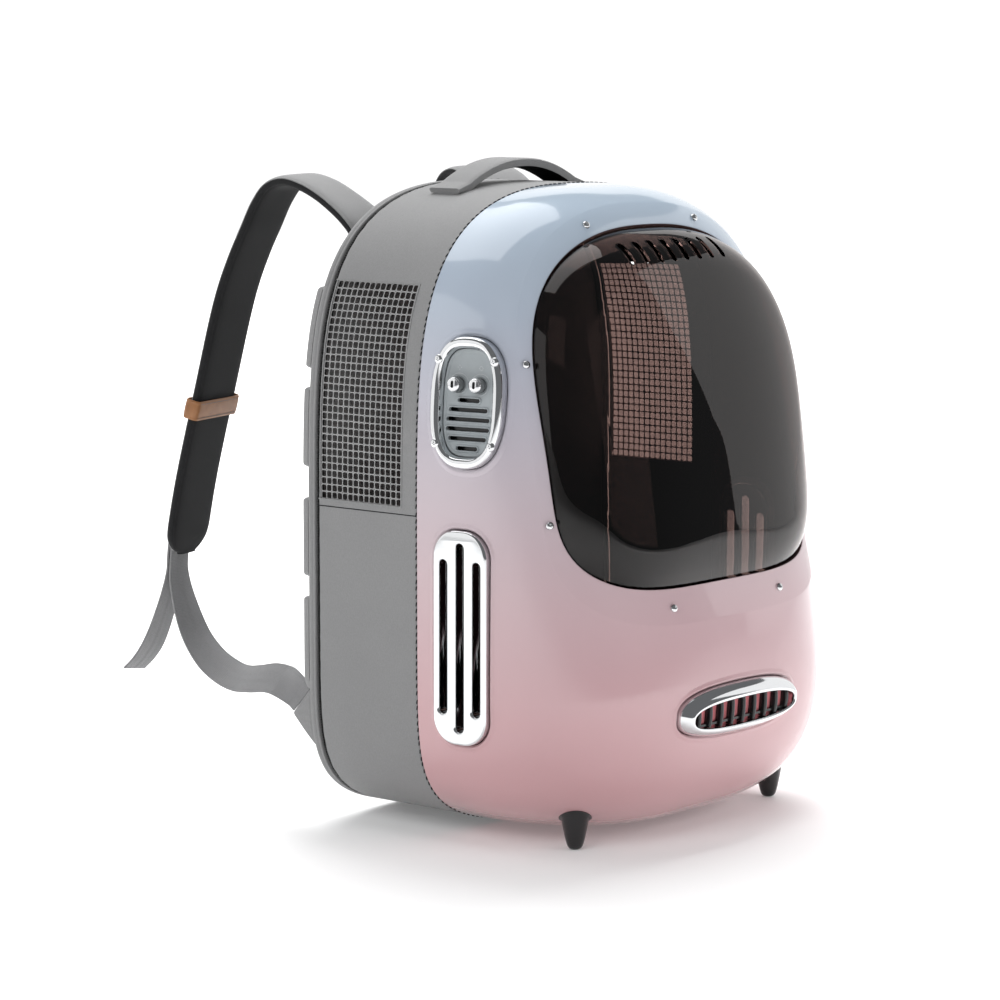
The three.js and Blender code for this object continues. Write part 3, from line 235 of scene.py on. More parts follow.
def tidy_mesh(obj, crease=40, merge=False):
    mesh = obj.data
    work = bmesh.new()
    work.from_mesh(mesh)
    if merge:
        bmesh.ops.remove_doubles(work, verts=work.verts, dist=1e-6)
    bmesh.ops.recalc_face_normals(work, faces=work.faces)
    work.to_mesh(mesh)
    work.free()
    mesh.shade_smooth()
    mesh.set_sharp_from_angle(angle=math.radians(crease))
    mesh.update()


def join(name, objects):
    """One object from several."""
    with bpy.context.temp_override(active_object=objects[0], selected_editable_objects=objects):
        bpy.ops.object.join()
    objects[0].name = name
    objects[0].data.name = name
    return objects[0]


def apply_modifiers(obj):
    depsgraph = bpy.context.evaluated_depsgraph_get()
    mesh = bpy.data.meshes.new_from_object(obj.evaluated_get(depsgraph))
    old = obj.data
    if obj.type == "CURVE":
        new = bpy.data.objects.new(obj.name, mesh)
        bpy.context.scene.collection.objects.link(new)
        bpy.data.objects.remove(obj)
        return new
    obj.modifiers.clear()
    obj.data = mesh
    bpy.data.meshes.remove(old)
    return obj


def cut(obj, cutters, crease=40):
    """The object less its cutters, which are deleted."""
    for i, cutter in enumerate(cutters):
        change = obj.modifiers.new(f"cut {i}", "BOOLEAN")
        change.object = cutter
        change.operation = "DIFFERENCE"
        change.solver = "EXACT"
    obj = apply_modifiers(obj)
    for cutter in cutters:
        bpy.data.objects.remove(cutter)
    obj.data.shade_smooth()
    obj.data.set_sharp_from_angle(angle=math.radians(crease))
    return obj


def finish_piece(obj, material, body="pack", nodes=()):
    """Gives a piece its material, the solids it stands for and its body."""
    if material is not None:
        obj.data.materials.clear()
        obj.data.materials.append(material)
    if nodes:
        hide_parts(*nodes)
    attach(obj, body)
    return obj


# Materials
WAVES_PER_UNIT = 0.314  # a wave texture of scale 1 repeats every 0.314 units


class Shader:
    """A Principled material whose nodes are added by calls."""

    def __init__(self, name, **sockets):
        self.material = bpy.data.materials.new(name)
        self.material.use_nodes = True
        self.tree = self.material.node_tree
        self.bsdf = self.tree.nodes["Principled BSDF"]
        for key, value in sockets.items():
            self.set(self.bsdf, key.replace("_", " "), value)

    def set(self, node, key, value):
        socket = node.inputs[key]
        if isinstance(value, bpy.types.NodeSocket):
            self.tree.links.new(value, socket)
        else:
            wide = isinstance(value, tuple) and len(value) == 3 and socket.type == "RGBA"
            socket.default_value = (*value, 1) if wide else value

    def add(self, kind, inputs=None, **settings):
        node = self.tree.nodes.new("ShaderNode" + kind)
        for key, value in settings.items():
            setattr(node, key, value)
        for key, value in (inputs or {}).items():
            self.set(node, key, value)
        return node

    def coords(self, kind="Object", scale=(1, 1, 1)):
        source = self.add("TexCoord").outputs[kind]
        return self.add("Mapping", {"Vector": source, "Scale": scale}).outputs["Vector"]

    def noise(self, vector, scale, detail=3, roughness=0.5):
        inputs = {"Vector": vector, "Scale": scale, "Detail": detail, "Roughness": roughness}
        return self.add("TexNoise", inputs).outputs["Fac"]

    def ramp(self, value, stops):
        node = self.add("ValToRGB", {"Fac": value})
        ramp = node.color_ramp
        while len(ramp.elements) < len(stops):
            ramp.elements.new(0.5)
        for element, (place, color) in zip(ramp.elements, stops):
            element.position = place
            element.color = (*color, 1) if isinstance(color, tuple) else (color, color, color, 1)
        return node.outputs["Color"]

    def math(self, operation, a, b=0.0):
        node = self.add("Math", operation=operation)
        self.set(node, 0, a)
        self.set(node, 1, b)
        return node.outputs[0]

    def mix(self, factor, a, b, blend="MIX"):
        node = self.add("Mix", data_type="RGBA", blend_type=blend)
        for key, value in ((0, factor), (6, a), (7, b)):
            self.set(node, key, value)
        return node.outputs[2]

    def wave(self, vector, scale, axis="X", distortion=0.0):
        inputs = {"Vector": vector, "Scale": scale, "Distortion": distortion, "Detail": 2,
                  "Detail Scale": 1.5}
        return self.add("TexWave", inputs, wave_type="BANDS", bands_direction=axis).outputs["Fac"]

    def bump(self, height, strength, distance):
        inputs = {"Height": height, "Strength": strength, "Distance": distance}
        return self.add("Bump", inputs).outputs["Normal"]

    def link(self, key, value):
        """A value or a node's output for a socket of the Principled node."""
        self.set(self.bsdf, key, value)


def threads(shader, vector, per_metre, distortion=1.2):
    """Height of a plain weave: threads of two directions, laid over each other."""
    scale = per_metre * WAVES_PER_UNIT
    warp = shader.wave(vector, scale, "X", distortion)
    weft = shader.wave(vector, scale, "Y", distortion)
    return shader.math("MULTIPLY", shader.math("ADD", warp, weft), 0.5)


def cloth_material(name, color, per_metre=1500, vary=0.14, kind="UV", rough=0.92, sheen=0.25, depth=0.00025,
                   gloss=0.25):
    shader = Shader(name, Roughness=rough)
    shader.link("Sheen Weight", sheen)
    shader.link("Sheen Roughness", 0.5)
    shader.link("Specular IOR Level", gloss)
    vector = shader.coords(kind)
    weave = threads(shader, vector, per_metre)
    space = shader.coords("Object")
    fibre = shader.noise(space, 900, 4, 0.65)
    cloud = shader.noise(space, 14, 4, 0.6)
    slub = shader.noise(shader.coords(kind, (260, 2600, 1)), 1.0, 2, 0.5)
    dark = tuple(c * (1 - vary) for c in color)
    light = tuple(min(1.0, c * (1 + vary)) for c in color)
    mottled = shader.ramp(fibre, [(0.3, dark), (0.7, light)])
    woven = shader.mix(0.35, mottled, shader.ramp(weave, [(0.2, dark), (0.8, light)]))
    slubbed = shader.mix(0.25, woven, shader.ramp(slub, [(0.35, dark), (0.65, light)]))
    clouded = shader.mix(1.0, slubbed, shader.ramp(cloud, [(0.3, 0.93), (0.7, 1.0)]), "MULTIPLY")
    shader.link("Base Color", clouded)
    height = shader.math("ADD", weave, shader.math("MULTIPLY", fibre, 0.8))
    shader.link("Normal", shader.bump(height, 0.5, depth))
    return shader.material


def shell_material():
    shader = Shader("shell gloss", Roughness=0.16)
    shader.link("Coat Weight", 0.8)
    shader.link("Coat Roughness", 0.03)
    space = shader.add("TexCoord").outputs["Object"]
    height = shader.add("SeparateXYZ", {"Vector": space}).outputs["Z"]
    wander = shader.math("MULTIPLY", shader.noise(space, 3.0, 1), 0.02)
    share = shader.math("DIVIDE", shader.math("ADD", height, wander), 0.46)
    color = shader.ramp(share, [
        (0.0, (0.56, 0.305, 0.318)),
        (0.22, (0.56, 0.330, 0.348)),
        (0.40, (0.55, 0.400, 0.425)),
        (0.56, (0.52, 0.450, 0.490)),
        (0.7, (0.47, 0.465, 0.530)),
        (0.82, (0.42, 0.475, 0.560)),
        (1.0, (0.40, 0.490, 0.585)),
    ])
    fleck = shader.ramp(shader.noise(space, 2600, 2), [(0.3, 0.985), (0.7, 1.0)])
    shader.link("Base Color", shader.mix(1.0, color, fleck, "MULTIPLY"))
    shader.link("Normal", shader.bump(shader.noise(space, 55, 2), 0.03, 0.0006))
    return shader.material


# The shell's inside: its pink plastic darkened to a deep brown, painted shade inside the cabin.
def shell_inside_shade_material():
    shader = Shader("shell inside painted shade", Roughness=0.7, Specular_IOR_Level=0.1)
    space = shader.coords("Object")
    stops = [(0.3, (0.060, 0.032, 0.030)), (0.7, (0.072, 0.040, 0.038))]
    shader.link("Base Color", shader.ramp(shader.noise(space, 40, 3), stops))
    shader.link("Normal", shader.bump(shader.noise(space, 700, 2), 0.15, 0.0002))
    return shader.material


def chrome_material(name="chrome", rough=0.05, tint=(0.78, 0.79, 0.80)):
    shader = Shader(name, Metallic=1.0, Base_Color=tint)
    space = shader.coords("Object")
    smear = shader.noise(space, 30, 3)
    shader.link("Roughness", shader.add("MapRange", {
        "Value": smear, "From Min": 0.3, "From Max": 0.7, "To Min": rough, "To Max": rough + 0.03,
    }).outputs[0])
    shader.link("Normal", shader.bump(shader.noise(space, 900, 2), 0.02, 0.0001))
    return shader.material


def plastic_material(name, color, rough=0.4, grain=2200, strength=0.12, vary=0.06):
    shader = Shader(name)
    space = shader.coords("Object")
    fine = shader.noise(space, grain, 3)
    dark = tuple(c * (1 - vary) for c in color)
    light = tuple(min(1, c * (1 + vary)) for c in color)
    shader.link("Base Color", shader.ramp(shader.noise(space, 90, 3), [(0.3, dark), (0.7, light)]))
    shader.link("Roughness", shader.add("MapRange", {
        "Value": shader.noise(space, 60, 2), "From Min": 0.3, "From Max": 0.7,
        "To Min": rough - 0.04, "To Max": rough + 0.05}).outputs[0])
    shader.link("Normal", shader.bump(fine, strength, 0.0002))
    return shader.material


def window_material():
    shader = Shader("window tint", Roughness=0.0, IOR=1.42)
    shader.link("Transmission Weight", 1.0)
    shader.link("Specular IOR Level", 0.15)
    space = shader.coords("Object")
    tint = shader.ramp(shader.noise(space, 5, 2), [(0.3, (0.085, 0.052, 0.045)), (0.7, (0.093, 0.058, 0.051))])
    shader.link("Base Color", tint)
    shader.link("Normal", shader.bump(shader.noise(space, 18, 1), 0.015, 0.0008))
    return shader.material


def leather_material():
    shader = Shader("tan leather", Roughness=0.5)
    shader.link("Coat Weight", 0.15)
    space = shader.coords("Object")
    cells = shader.add("TexVoronoi", {"Vector": space, "Scale": 1500.0}, feature="F1").outputs["Distance"]
    color = shader.ramp(shader.noise(space, 120, 4), [(0.3, (0.24, 0.098, 0.032)), (0.7, (0.32, 0.14, 0.05))])
    shader.link("Base Color", color)
    shader.link("Normal", shader.bump(cells, 0.25, 0.0003))
    return shader.material


SHELL = shell_material()
SHELL_INSIDE_SHADE = shell_inside_shade_material()
CHROME = chrome_material()
WINDOW = window_material()
LEATHER = leather_material()
CANVAS = cloth_material("grey canvas", (0.26, 0.26, 0.262))
CANVAS_SPACE = cloth_material("grey canvas padding", (0.26, 0.26, 0.262), kind="Object")
NET = cloth_material("net", (0.33, 0.33, 0.33), per_metre=2600, kind="Object", rough=0.8)
STRAP_FACE = cloth_material("strap face", (0.25, 0.25, 0.252))
# The strap's underside: dark cloth, made near-black so that it also stands for the shade between the strap and
# the back (painted shade).
STRAP_LINING_AND_SHADE = cloth_material("strap lining and painted shade", (0.020, 0.020, 0.021), vary=0.25, sheen=0.04)
WEBBING = cloth_material("webbing", (0.24, 0.24, 0.245), per_metre=900, depth=0.0005)
# Near-black cloth: a dark lining made darker than cloth can be, painted shade inside the cabin and under the
# handle.
DARK_LINING_AND_SHADE = cloth_material("dark lining and painted shade", (0.005, 0.005, 0.005), kind="Object", sheen=0.0, gloss=0.02)
# A black zip, made near-black so that it also stands for the shade in the gap between fabric and back (painted
# shade).
ZIP_TAPE_AND_GAP_SHADE = cloth_material("zip tape and gap shade", (0.008, 0.008, 0.008), per_metre=1800, kind="Object", sheen=0.1)
THREAD = cloth_material("dark thread", (0.012, 0.013, 0.016), per_metre=4000, kind="Object", sheen=0.1)
PALE_THREAD = cloth_material("grey thread", (0.2, 0.2, 0.2), per_metre=4000, kind="Object", sheen=0.1)
PANEL_GREY = plastic_material("panel grey", (0.33, 0.36, 0.375), rough=0.36)
PANEL_MARK = plastic_material("panel marks", (0.5, 0.52, 0.53), rough=0.5)
BLACK_PLASTIC = plastic_material("black plastic", (0.012, 0.012, 0.013), rough=0.22, strength=0.05)
# A deeper, darker pink than the shell's own, painted shade for the recess behind the grille's slats.
GRILLE_BACK = plastic_material("grille back", (0.60, 0.17, 0.19), rough=0.5)
KNOB_DARK = chrome_material("knob side", 0.16, (0.34, 0.34, 0.34))


# Frames on the shell: u to the right of a person who faces it, v up, n outwards
class Place:
    def __init__(self, origin, normal=None):
        self.origin = np.asarray(origin, float)
        self.n = dome_gradient(self.origin[None])[0] if normal is None else np.asarray(normal, float)
        self.u = normalise(np.cross([0, 0, 1], self.n))
        self.v = np.cross(self.n, self.u)

    def at(self, u, v, n):
        u, v, n = np.broadcast_arrays(np.asarray(u, float), v, n)
        return self.origin + u[..., None] * self.u + v[..., None] * self.v + n[..., None] * self.n

    def drop(self, u, v):
        """Height over the frame's plane at which the dome lies."""
        def inside(n):
            p = self.at(u, v, n)
            return dome_value(p[..., 0], SEAM_Y - p[..., 1], p[..., 2]) < 0
        return boundary(inside, np.full(np.shape(u), -30.0), 20)

    def matrix(self):
        m = Matrix.Identity(4)
        for row in range(3):
            m[row][0], m[row][1], m[row][2] = self.u[row], self.v[row], self.n[row]
            m[row][3] = self.origin[row] * MM
        return m


def side_place(side, y, z):
    x = boundary(lambda v: dome_value(v, SEAM_Y - y, z) < 0, 0.0, HALF_WIDTH + 20)
    return Place([side * float(x), y, z])


def front_place(x, z):
    return Place([x, SEAM_Y - float(front_depth(np.array(x), np.array(z))), z])


def superellipse(half_u, half_v, power, count, v0=0.0):
    angle = np.linspace(0, 2 * math.pi, count, endpoint=False)
    bend = lambda value: np.sign(value) * np.abs(value) ** (2 / power)
    return np.stack([half_u * bend(np.cos(angle)), v0 + half_v * bend(np.sin(angle))], 1)


def stadium(length, width, count, u0=0.0, v0=0.0, upright=False):
    """A slot with round ends."""
    return rounded_rectangle(
        length / 2 if not upright else width / 2, width / 2 if not upright else length / 2,
        width / 2 - 1e-3, count, u0, v0)


def rounded_rectangle(half_u, half_v, corner, count, u0=0.0, v0=0.0):
    per = count // 4
    points = []
    for k, (su, sv) in enumerate([(1, 1), (-1, 1), (-1, -1), (1, -1)]):
        for i in range(per):
            a = (k + i / (per - 1)) * math.pi / 2
            points.append((su * (half_u - corner) + corner * math.cos(a) + u0,
                           sv * (half_v - corner) + corner * math.sin(a) + v0))
    return np.array(points)


def dense(loop, step):
    """A closed loop with points no further apart than step."""
    result = []
    for a, b in zip(loop, np.roll(loop, -1, 0)):
        parts = max(1, int(math.ceil(np.linalg.norm(b - a) / step)))
        result += [a + (b - a) * k / parts for k in range(parts)]
    return np.array(result)


def grow(loop, distance):
    """A counter-clockwise loop moved outwards."""
    before, after = loop - np.roll(loop, 1, 0), np.roll(loop, -1, 0) - loop
    normal = lambda d: normalise(np.stack([d[:, 1], -d[:, 0]], 1))
    n = normalise(normal(before) + normal(after))
    return loop + n * distance


def prism(name, place, loop, low, high):
    rows = [place.at(loop[:, 0], loop[:, 1], n) for n in (low, high)]
    return grid_object(name, rows, caps=True)


PANEL = side_place(-1, SEAM_Y - 0.2743 * DOME_DEPTH, 0.686 * HEIGHT)
VENTS = {side: side_place(side, SEAM_Y - 0.2578 * DOME_DEPTH, 0.3278 * HEIGHT) for side in (-1, 1)}
GRILLE = front_place(0.0, 0.2004 * HEIGHT)
PANEL_LOOP = superellipse(28.4, 44.8, 2.5, 160)
VENT_LOOP = dense(rounded_rectangle(22.6, 74, 19, 88), 3.0)
GRILLE_LOOP = superellipse(66, 17.7, 2.7, 200)


# Front shell
COLUMNS = 288
loop = outline(COLUMNS)
band_loop = on_oval(BAND, loop)
rim_loop = on_oval(RIM, loop)


def dome_rows(angles):
    """The dome between the body's outline and the sunk band, a row for each angle."""
    end_depth = front_depth(band_loop[:, 0], band_loop[:, 1])
    rows = []
    for angle in angles:
        if angle == 0:
            rows.append(outline_row(loop, 0, SEAM_Y))
            continue
        c, s = math.cos(angle), math.sin(angle)

        def at(reach):
            t = 1 - reach * c
            return (loop[:, 0] + (band_loop[:, 0] - loop[:, 0]) * t, reach * s * end_depth,
                    loop[:, 1] + (band_loop[:, 1] - loop[:, 1]) * t)
        reach = boundary(lambda r: dome_value(*at(r)) < 0, np.full(COLUMNS, 0.2), 1.6)
        x, depth, z = at(reach)
        rows.append(np.stack([x, SEAM_Y - depth, z], 1))
    return rows


def grid_normals(rows):
    along = np.roll(rows, -1, 1) - np.roll(rows, 1, 1)
    across = np.gradient(rows, axis=0)
    n = normalise(np.cross(along, across))
    outward = rows - np.array([0, SEAM_Y, HEIGHT / 2])
    return np.where((n * outward).sum(-1, keepdims=True) < 0, -n, n)


def band_surface(share):
    x = band_loop[:, 0] + (rim_loop[:, 0] - band_loop[:, 0]) * share
    z = band_loop[:, 1] + (rim_loop[:, 1] - band_loop[:, 1]) * share
    return np.stack([x, SEAM_Y - front_depth(x, z), z], 1)


RIM_ROLL = 0.9


def front_shell():
    """The shell from the seam to the window's rim, rolled over the rim and back along its inside."""
    angles = np.radians(np.concatenate([np.linspace(0, 84, 40), [86, 88, 89.2, 90]]))
    shares = [0.03, 0.08, 0.16, 0.28, 0.42, 0.56, 0.7, 0.82, 0.9, 0.96, 1.0]
    base = np.array(dome_rows(angles) + [band_surface(s) for s in shares])
    normals = grid_normals(base)
    count = len(angles)
    normals[:count - 2] = dome_gradient(base[:count - 2])
    normals[0] *= [1, 0, 1]
    normals = normalise(normals)
    sink = np.array([0.0] * count + [BAND_SINK * (s * s / (s + 0.04)) * 1.04 for s in shares])
    outer = base - normals * sink[:, None, None]
    inwards = np.stack([rim_loop[:, 0], np.zeros(COLUMNS), rim_loop[:, 1] - WINDOW_CENTRE_Z], 1)
    inwards = -normalise(inwards)
    edge, n = outer[-1], normals[-1]
    roll = [edge + (inwards * math.sin(a) - n * (1 - math.cos(a))) * RIM_ROLL
            for a in np.radians([25, 50, 75, 90])]
    wall = [roll[-1] - n * (SHELL_WALL - RIM_ROLL)]
    inner = outer - normals * SHELL_WALL
    rows = list(outer) + roll + wall + list(inner[::-1][3:])
    shell = grid_object("front_shell_gloss", np.array(rows), close_rows=True, crease=35)
    cutters = [
        prism("panel cutter", PANEL, grow(PANEL_LOOP, 6), -30, 14),
        prism("grille cutter", GRILLE, grow(GRILLE_LOOP, 5), -30, 14),
    ]
    cutters += [prism("vent cutter", VENTS[s], grow(VENT_LOOP, 5), -30, 14) for s in (-1, 1)]
    shell = cut(shell, cutters, 35)
    mesh = shell.data
    mesh.materials.clear()
    mesh.materials.append(SHELL)
    # The second material darkens the shell's inside as painted shade.
    mesh.materials.append(SHELL_INSIDE_SHADE)
    set_dome_normals(mesh)
    return shell


def set_dome_normals(mesh):
    """Exact normals where the mesh lies on the dome, and the darkened inside material, painted shade, where it
    faces in.
    """
    points = np.empty(len(mesh.vertices) * 3)
    mesh.vertices.foreach_get("co", points)
    points = points.reshape(-1, 3) / MM
    value = dome_value(points[:, 0], SEAM_Y - points[:, 1], points[:, 2])
    gradient = dome_gradient(points)
    corner = np.empty(len(mesh.loops) * 3)
    mesh.corner_normals.foreach_get("vector", corner)
    corner = corner.reshape(-1, 3)
    vertex = np.empty(len(mesh.loops), int)
    mesh.loops.foreach_get("vertex_index", vertex)
    on_dome = np.abs(value[vertex]) < 2e-3
    aligned = (corner * gradient[vertex]).sum(1) > 0.9
    chosen = np.where((on_dome & aligned)[:, None], gradient[vertex], corner)
    middle = np.array([0, SEAM_Y, HEIGHT / 2])
    for face in mesh.polygons:
        centre = np.array(face.center) / MM
        inner = float(dome_value(centre[0], SEAM_Y - centre[1], centre[2])) < -0.004
        facing = np.dot(np.array(face.normal), centre - middle) < 0
        face.material_index = 1 if inner and facing else 0
    mesh.normals_split_custom_set(normalise(chosen).tolist())


def seat_ring(name, place, base, width, lip, drop):
    """The shell's surface round an opening: a soft lip, then a groove down beside the fitting."""
    profile = [(width - 0.02, 0.0), (width * 0.86, lip * 0.15), (width * 0.72, lip * 0.6),
               (width * 0.6, lip * 0.95), (width * 0.5, lip), (width * 0.4, lip * 0.7),
               (width * 0.3, -drop * 0.1), (width * 0.22, -drop * 0.4), (width * 0.14, -drop * 0.75),
               (0.35, -drop), (0.3, -drop * 2.2),
               (0.3, -drop * 2.2 - 1.5), (width - 0.02, -2.4)]
    rows = []
    for offset, height in profile:
        edge = grow(base, offset)
        rows.append(place.at(edge[:, 0], edge[:, 1], place.drop(edge[:, 0], edge[:, 1]) + height))
    obj = grid_object(name, np.array(rows), close_rows=True, crease=50)
    obj.data.materials.append(SHELL)
    mesh = obj.data
    points = np.array([v.co for v in mesh.vertices]) / MM
    gradient = dome_gradient(points)
    outer_edge = np.arange(len(points)) < len(base)
    normals = np.array([c.vector for c in mesh.corner_normals])
    vertex = np.array([item.vertex_index for item in mesh.loops])
    fit = outer_edge[vertex] & ((normals * gradient[vertex]).sum(1) > 0.7)
    chosen = np.where(fit[:, None], gradient[vertex], normals)
    mesh.normals_split_custom_set(normalise(chosen).tolist())
    return obj


shell = front_shell()
finish_piece(shell, None, nodes=["front_shell"])
SEATS = [("panel", PANEL, PANEL_LOOP, 6), ("grille", GRILLE, GRILLE_LOOP, 5),
         ("vent_left", VENTS[-1], VENT_LOOP, 5), ("vent_right", VENTS[1], VENT_LOOP, 5)]
for label, place, base, width in SEATS:
    ring = seat_ring(f"shell_seat_{label}", place, base, width, 0.35, 1.5)
    finish_piece(ring, None)


# Bubble window
BUBBLE_LOW, BUBBLE_HIGH = 4.0, 12.3
AIR_SLOTS, AIR_SLOT_PITCH, AIR_SLOT_LENGTH, AIR_SLOT_WIDTH = 8, 14.5, 19.5, 5.4


def bubble():
    """The window stands out by BUBBLE_LOW at its foot and BUBBLE_HIGH at its top."""
    shares = np.concatenate([np.linspace(0.02, 0.8, 26), np.linspace(0.82, 1.05, 22)])
    base = []
    for share in shares:
        x = rim_loop[:, 0] * share
        z = WINDOW_CENTRE_Z + (rim_loop[:, 1] - WINDOW_CENTRE_Z) * share
        base.append(np.stack([x, SEAM_Y - front_depth(x, z), z], 1))
    base = np.array(base)
    normals = dome_gradient(base)
    reach = np.hypot(rim_loop[:, 0], rim_loop[:, 1] - WINDOW_CENTRE_Z)
    edge = (1 - shares)[:, None] * reach[None]
    rise = 1 - (1 - np.clip(edge / 36, 0, 1)) ** 2.2
    height = np.clip((base[..., 2] - 0.4 * HEIGHT) / (0.3778 * HEIGHT), 0, 1)
    proud = BUBBLE_LOW + (BUBBLE_HIGH - BUBBLE_LOW) * smooth_step(height)
    seat = BAND_SINK + SHELL_WALL + CLEARANCE + 0.1
    outer = base + normals * (-seat + (proud + seat) * rise)[..., None]
    inner = outer - grid_normals(outer) * BUBBLE_WALL
    rows = np.concatenate([outer, inner[::-1]])
    window = grid_object("bubble_window_tinted", rows, caps=True, crease=50)
    cutters = []
    for i in range(AIR_SLOTS):
        place = front_place((i - (AIR_SLOTS - 1) / 2) * AIR_SLOT_PITCH, 0.8933 * HEIGHT)
        loop_in = stadium(AIR_SLOT_LENGTH, AIR_SLOT_WIDTH, 24, upright=True)
        cutters.append(prism(f"slot {i}", place, loop_in, -6, 26))
    return cut(window, cutters, 50)


finish_piece(bubble(), WINDOW, nodes=["bubble_window"])


# Small screws
def screw(name, matrix, radius, height):
    """A domed head with a crossed drive."""
    profile = [(0, height), (radius * 0.35, height * 0.985), (radius * 0.62, height * 0.86),
               (radius * 0.85, height * 0.55), (radius * 0.97, height * 0.2), (radius, -0.1),
               (radius, -0.5), (0.5 * radius, -0.5)]
    angle = np.linspace(0, 2 * math.pi, 28, endpoint=False)
    rows = np.array([np.stack([r * np.cos(angle), r * np.sin(angle), np.full(28, h)], 1)
                     for r, h in ((max(r, 0.05), h) for r, h in profile)])
    head = grid_object(name, rows, caps=True, crease=60)
    slot_loop = stadium(radius * 0.9, radius * 0.24, 12)
    cutters = []
    for turn in (0.35, 0.35 + math.pi / 2):
        turned = slot_loop @ np.array([[math.cos(turn), math.sin(turn)], [-math.sin(turn), math.cos(turn)]])
        low = np.column_stack([turned, np.full(len(turned), height * 0.6)])
        high = np.column_stack([turned, np.full(len(turned), height * 1.4)])
        cutters.append(grid_object("drive", np.array([low, high]), caps=True))
    head = cut(head, cutters, 60)
    head.data.transform(matrix)
    return head


def band_point(degrees, side, share):
    """A point on the sunk band, at a share of the way from its outer edge to the rim."""
    angle = math.radians(degrees)
    target = np.array([[side * HEIGHT * math.cos(angle), WINDOW_CENTRE_Z + HEIGHT * math.sin(angle)]])
    band, rim = on_oval(BAND, target)[0], on_oval(RIM, target)[0]
    x, z = band + (rim - band) * share
    place = front_place(x, z)
    return place.origin - place.n * BAND_SINK * share


number = 0
for degrees in (66.3, 19.4, -21.4, -62.5):
    for side in (1, -1):
        number += 1
        inwards = normalise(band_point(degrees, side, 0.9) - band_point(degrees, side, 0.1))
        along = band_point(degrees + 3, side, 0.5) - band_point(degrees - 3, side, 0.5)
        normal = normalise(np.cross(along, inwards) * side)
        centre = band_point(degrees, side, 0.5) + normal * 0.75
        matrix = Matrix.Identity(4)
        for axis, vector in enumerate((inwards, np.cross(normal, inwards), normal)):
            for row in range(3):
                matrix[row][axis] = vector[row]
        for row in range(3):
            matrix[row][3] = centre[row] * MM
        finish_piece(screw(f"window_screw_head_{number}", matrix, 2.9, 1.8), CHROME,
                     nodes=[f"window_screw_{number}"])


# Control panel
def blended_ring(name, place, outer, inner, profile, crease=50):
    """A ring between two loops; the profile's first number is the share of the way inwards."""
    rows = []
    for share, height in profile:
        edge = outer + (inner - outer) * share
        rows.append(place.at(edge[:, 0], edge[:, 1], height))
    return grid_object(name, np.array(rows), close_rows=True, crease=crease)


panel_inner = superellipse(20.5, 36.9, 3.2, 160)
ring = blended_ring("control_ring_chrome", PANEL, PANEL_LOOP, panel_inner, [
    (0, -9), (0, 0.6), (0.03, 1.6), (0.1, 2.5), (0.22, 3.2), (0.38, 3.55), (0.54, 3.6), (0.68, 3.35),
    (0.8, 2.75), (0.88, 1.9), (0.93, 1.0), (0.96, 0.2), (0.985, -0.4), (1, -1.2), (1, -9)])
finish_piece(ring, CHROME, nodes=["control_ring"])

SLOT_TABLE = [(1.6, 17.2), (-4.9, 30.6), (-11.4, 34.4), (-18.0, 34.4), (-24.5, 30.2), (-31.1, 17.0)]
KNOB_V = 12.1
PLATE_DROP = 2.6
KNOB_U = {"rear": -8.6, "front": 8.6}


def control_plate():
    """The plate with its slots, a lip round each slot and a collar round each knob."""
    edge = superellipse(20.2, 36.6, 3.2, 160)
    rows = []
    for inset, height in [(0, -2.0), (0, -0.6), (0.15, -0.15), (0.5, 0.0), (1.5, 0.02), (1.9, -0.1),
                          (2.3, -0.45), (2.9, -0.5), (3.4, -0.45), (4.2, -0.45)]:
        loop_in = grow(edge, -inset)
        rows.append(PANEL.at(loop_in[:, 0], loop_in[:, 1], height - PLATE_DROP))
    rows = [PANEL.at(grow(edge, -3)[:, 0], grow(edge, -3)[:, 1], -2.0 - PLATE_DROP)] + rows
    plate = grid_object("control_plate_grey", np.array(rows), caps=True, crease=50)
    cutters = [prism("slot", PANEL, stadium(length + 0.6, 3.3, 32, 0, v), -6, 6) for v, length in SLOT_TABLE]
    cutters += [prism("hole", PANEL, superellipse(2.3, 2.3, 2, 24) + [u, KNOB_V], -6, 6)
                for u in KNOB_U.values()]
    plate = cut(plate, cutters, 40)
    lips = []
    for v, length in SLOT_TABLE:
        base = stadium(length, 2.7, 48, 0, v)
        lip_rows = [PANEL.at(*grow(base, offset).T, height - PLATE_DROP) for offset, height in [
            (1.35, -0.46), (1.2, -0.05), (0.9, 0.4), (0.6, 0.55), (0.3, 0.45), (0.08, 0.1), (0, -0.5),
            (0, -2.2), (0.3, -2.2), (0.35, -0.6)]]
        lips.append(grid_object("lip", np.array(lip_rows), close_rows=True, crease=50))
    for u in KNOB_U.values():
        base = superellipse(6.3, 6.3, 2, 48) + [u, KNOB_V]
        collar = [PANEL.at(*grow(base, offset).T, height - PLATE_DROP) for offset, height in [
            (0.6, -0.46), (0.45, -0.2), (0.1, -0.05), (-0.5, -0.1), (-0.8, -0.46)]]
        lips.append(grid_object("collar", np.array(collar), close_rows=True, crease=50))
    return join("control_plate_grey", [plate] + lips)


finish_piece(control_plate(), PANEL_GREY, nodes=["control_plate"])

# A black backing behind the plate's slots, closing the hole; its black is painted shade seen through the slots
backing = prism("control_panel_backing", PANEL, superellipse(19.2, 35.6, 3.2, 80), -9.5, -8.5)
finish_piece(backing, BLACK_PLASTIC)


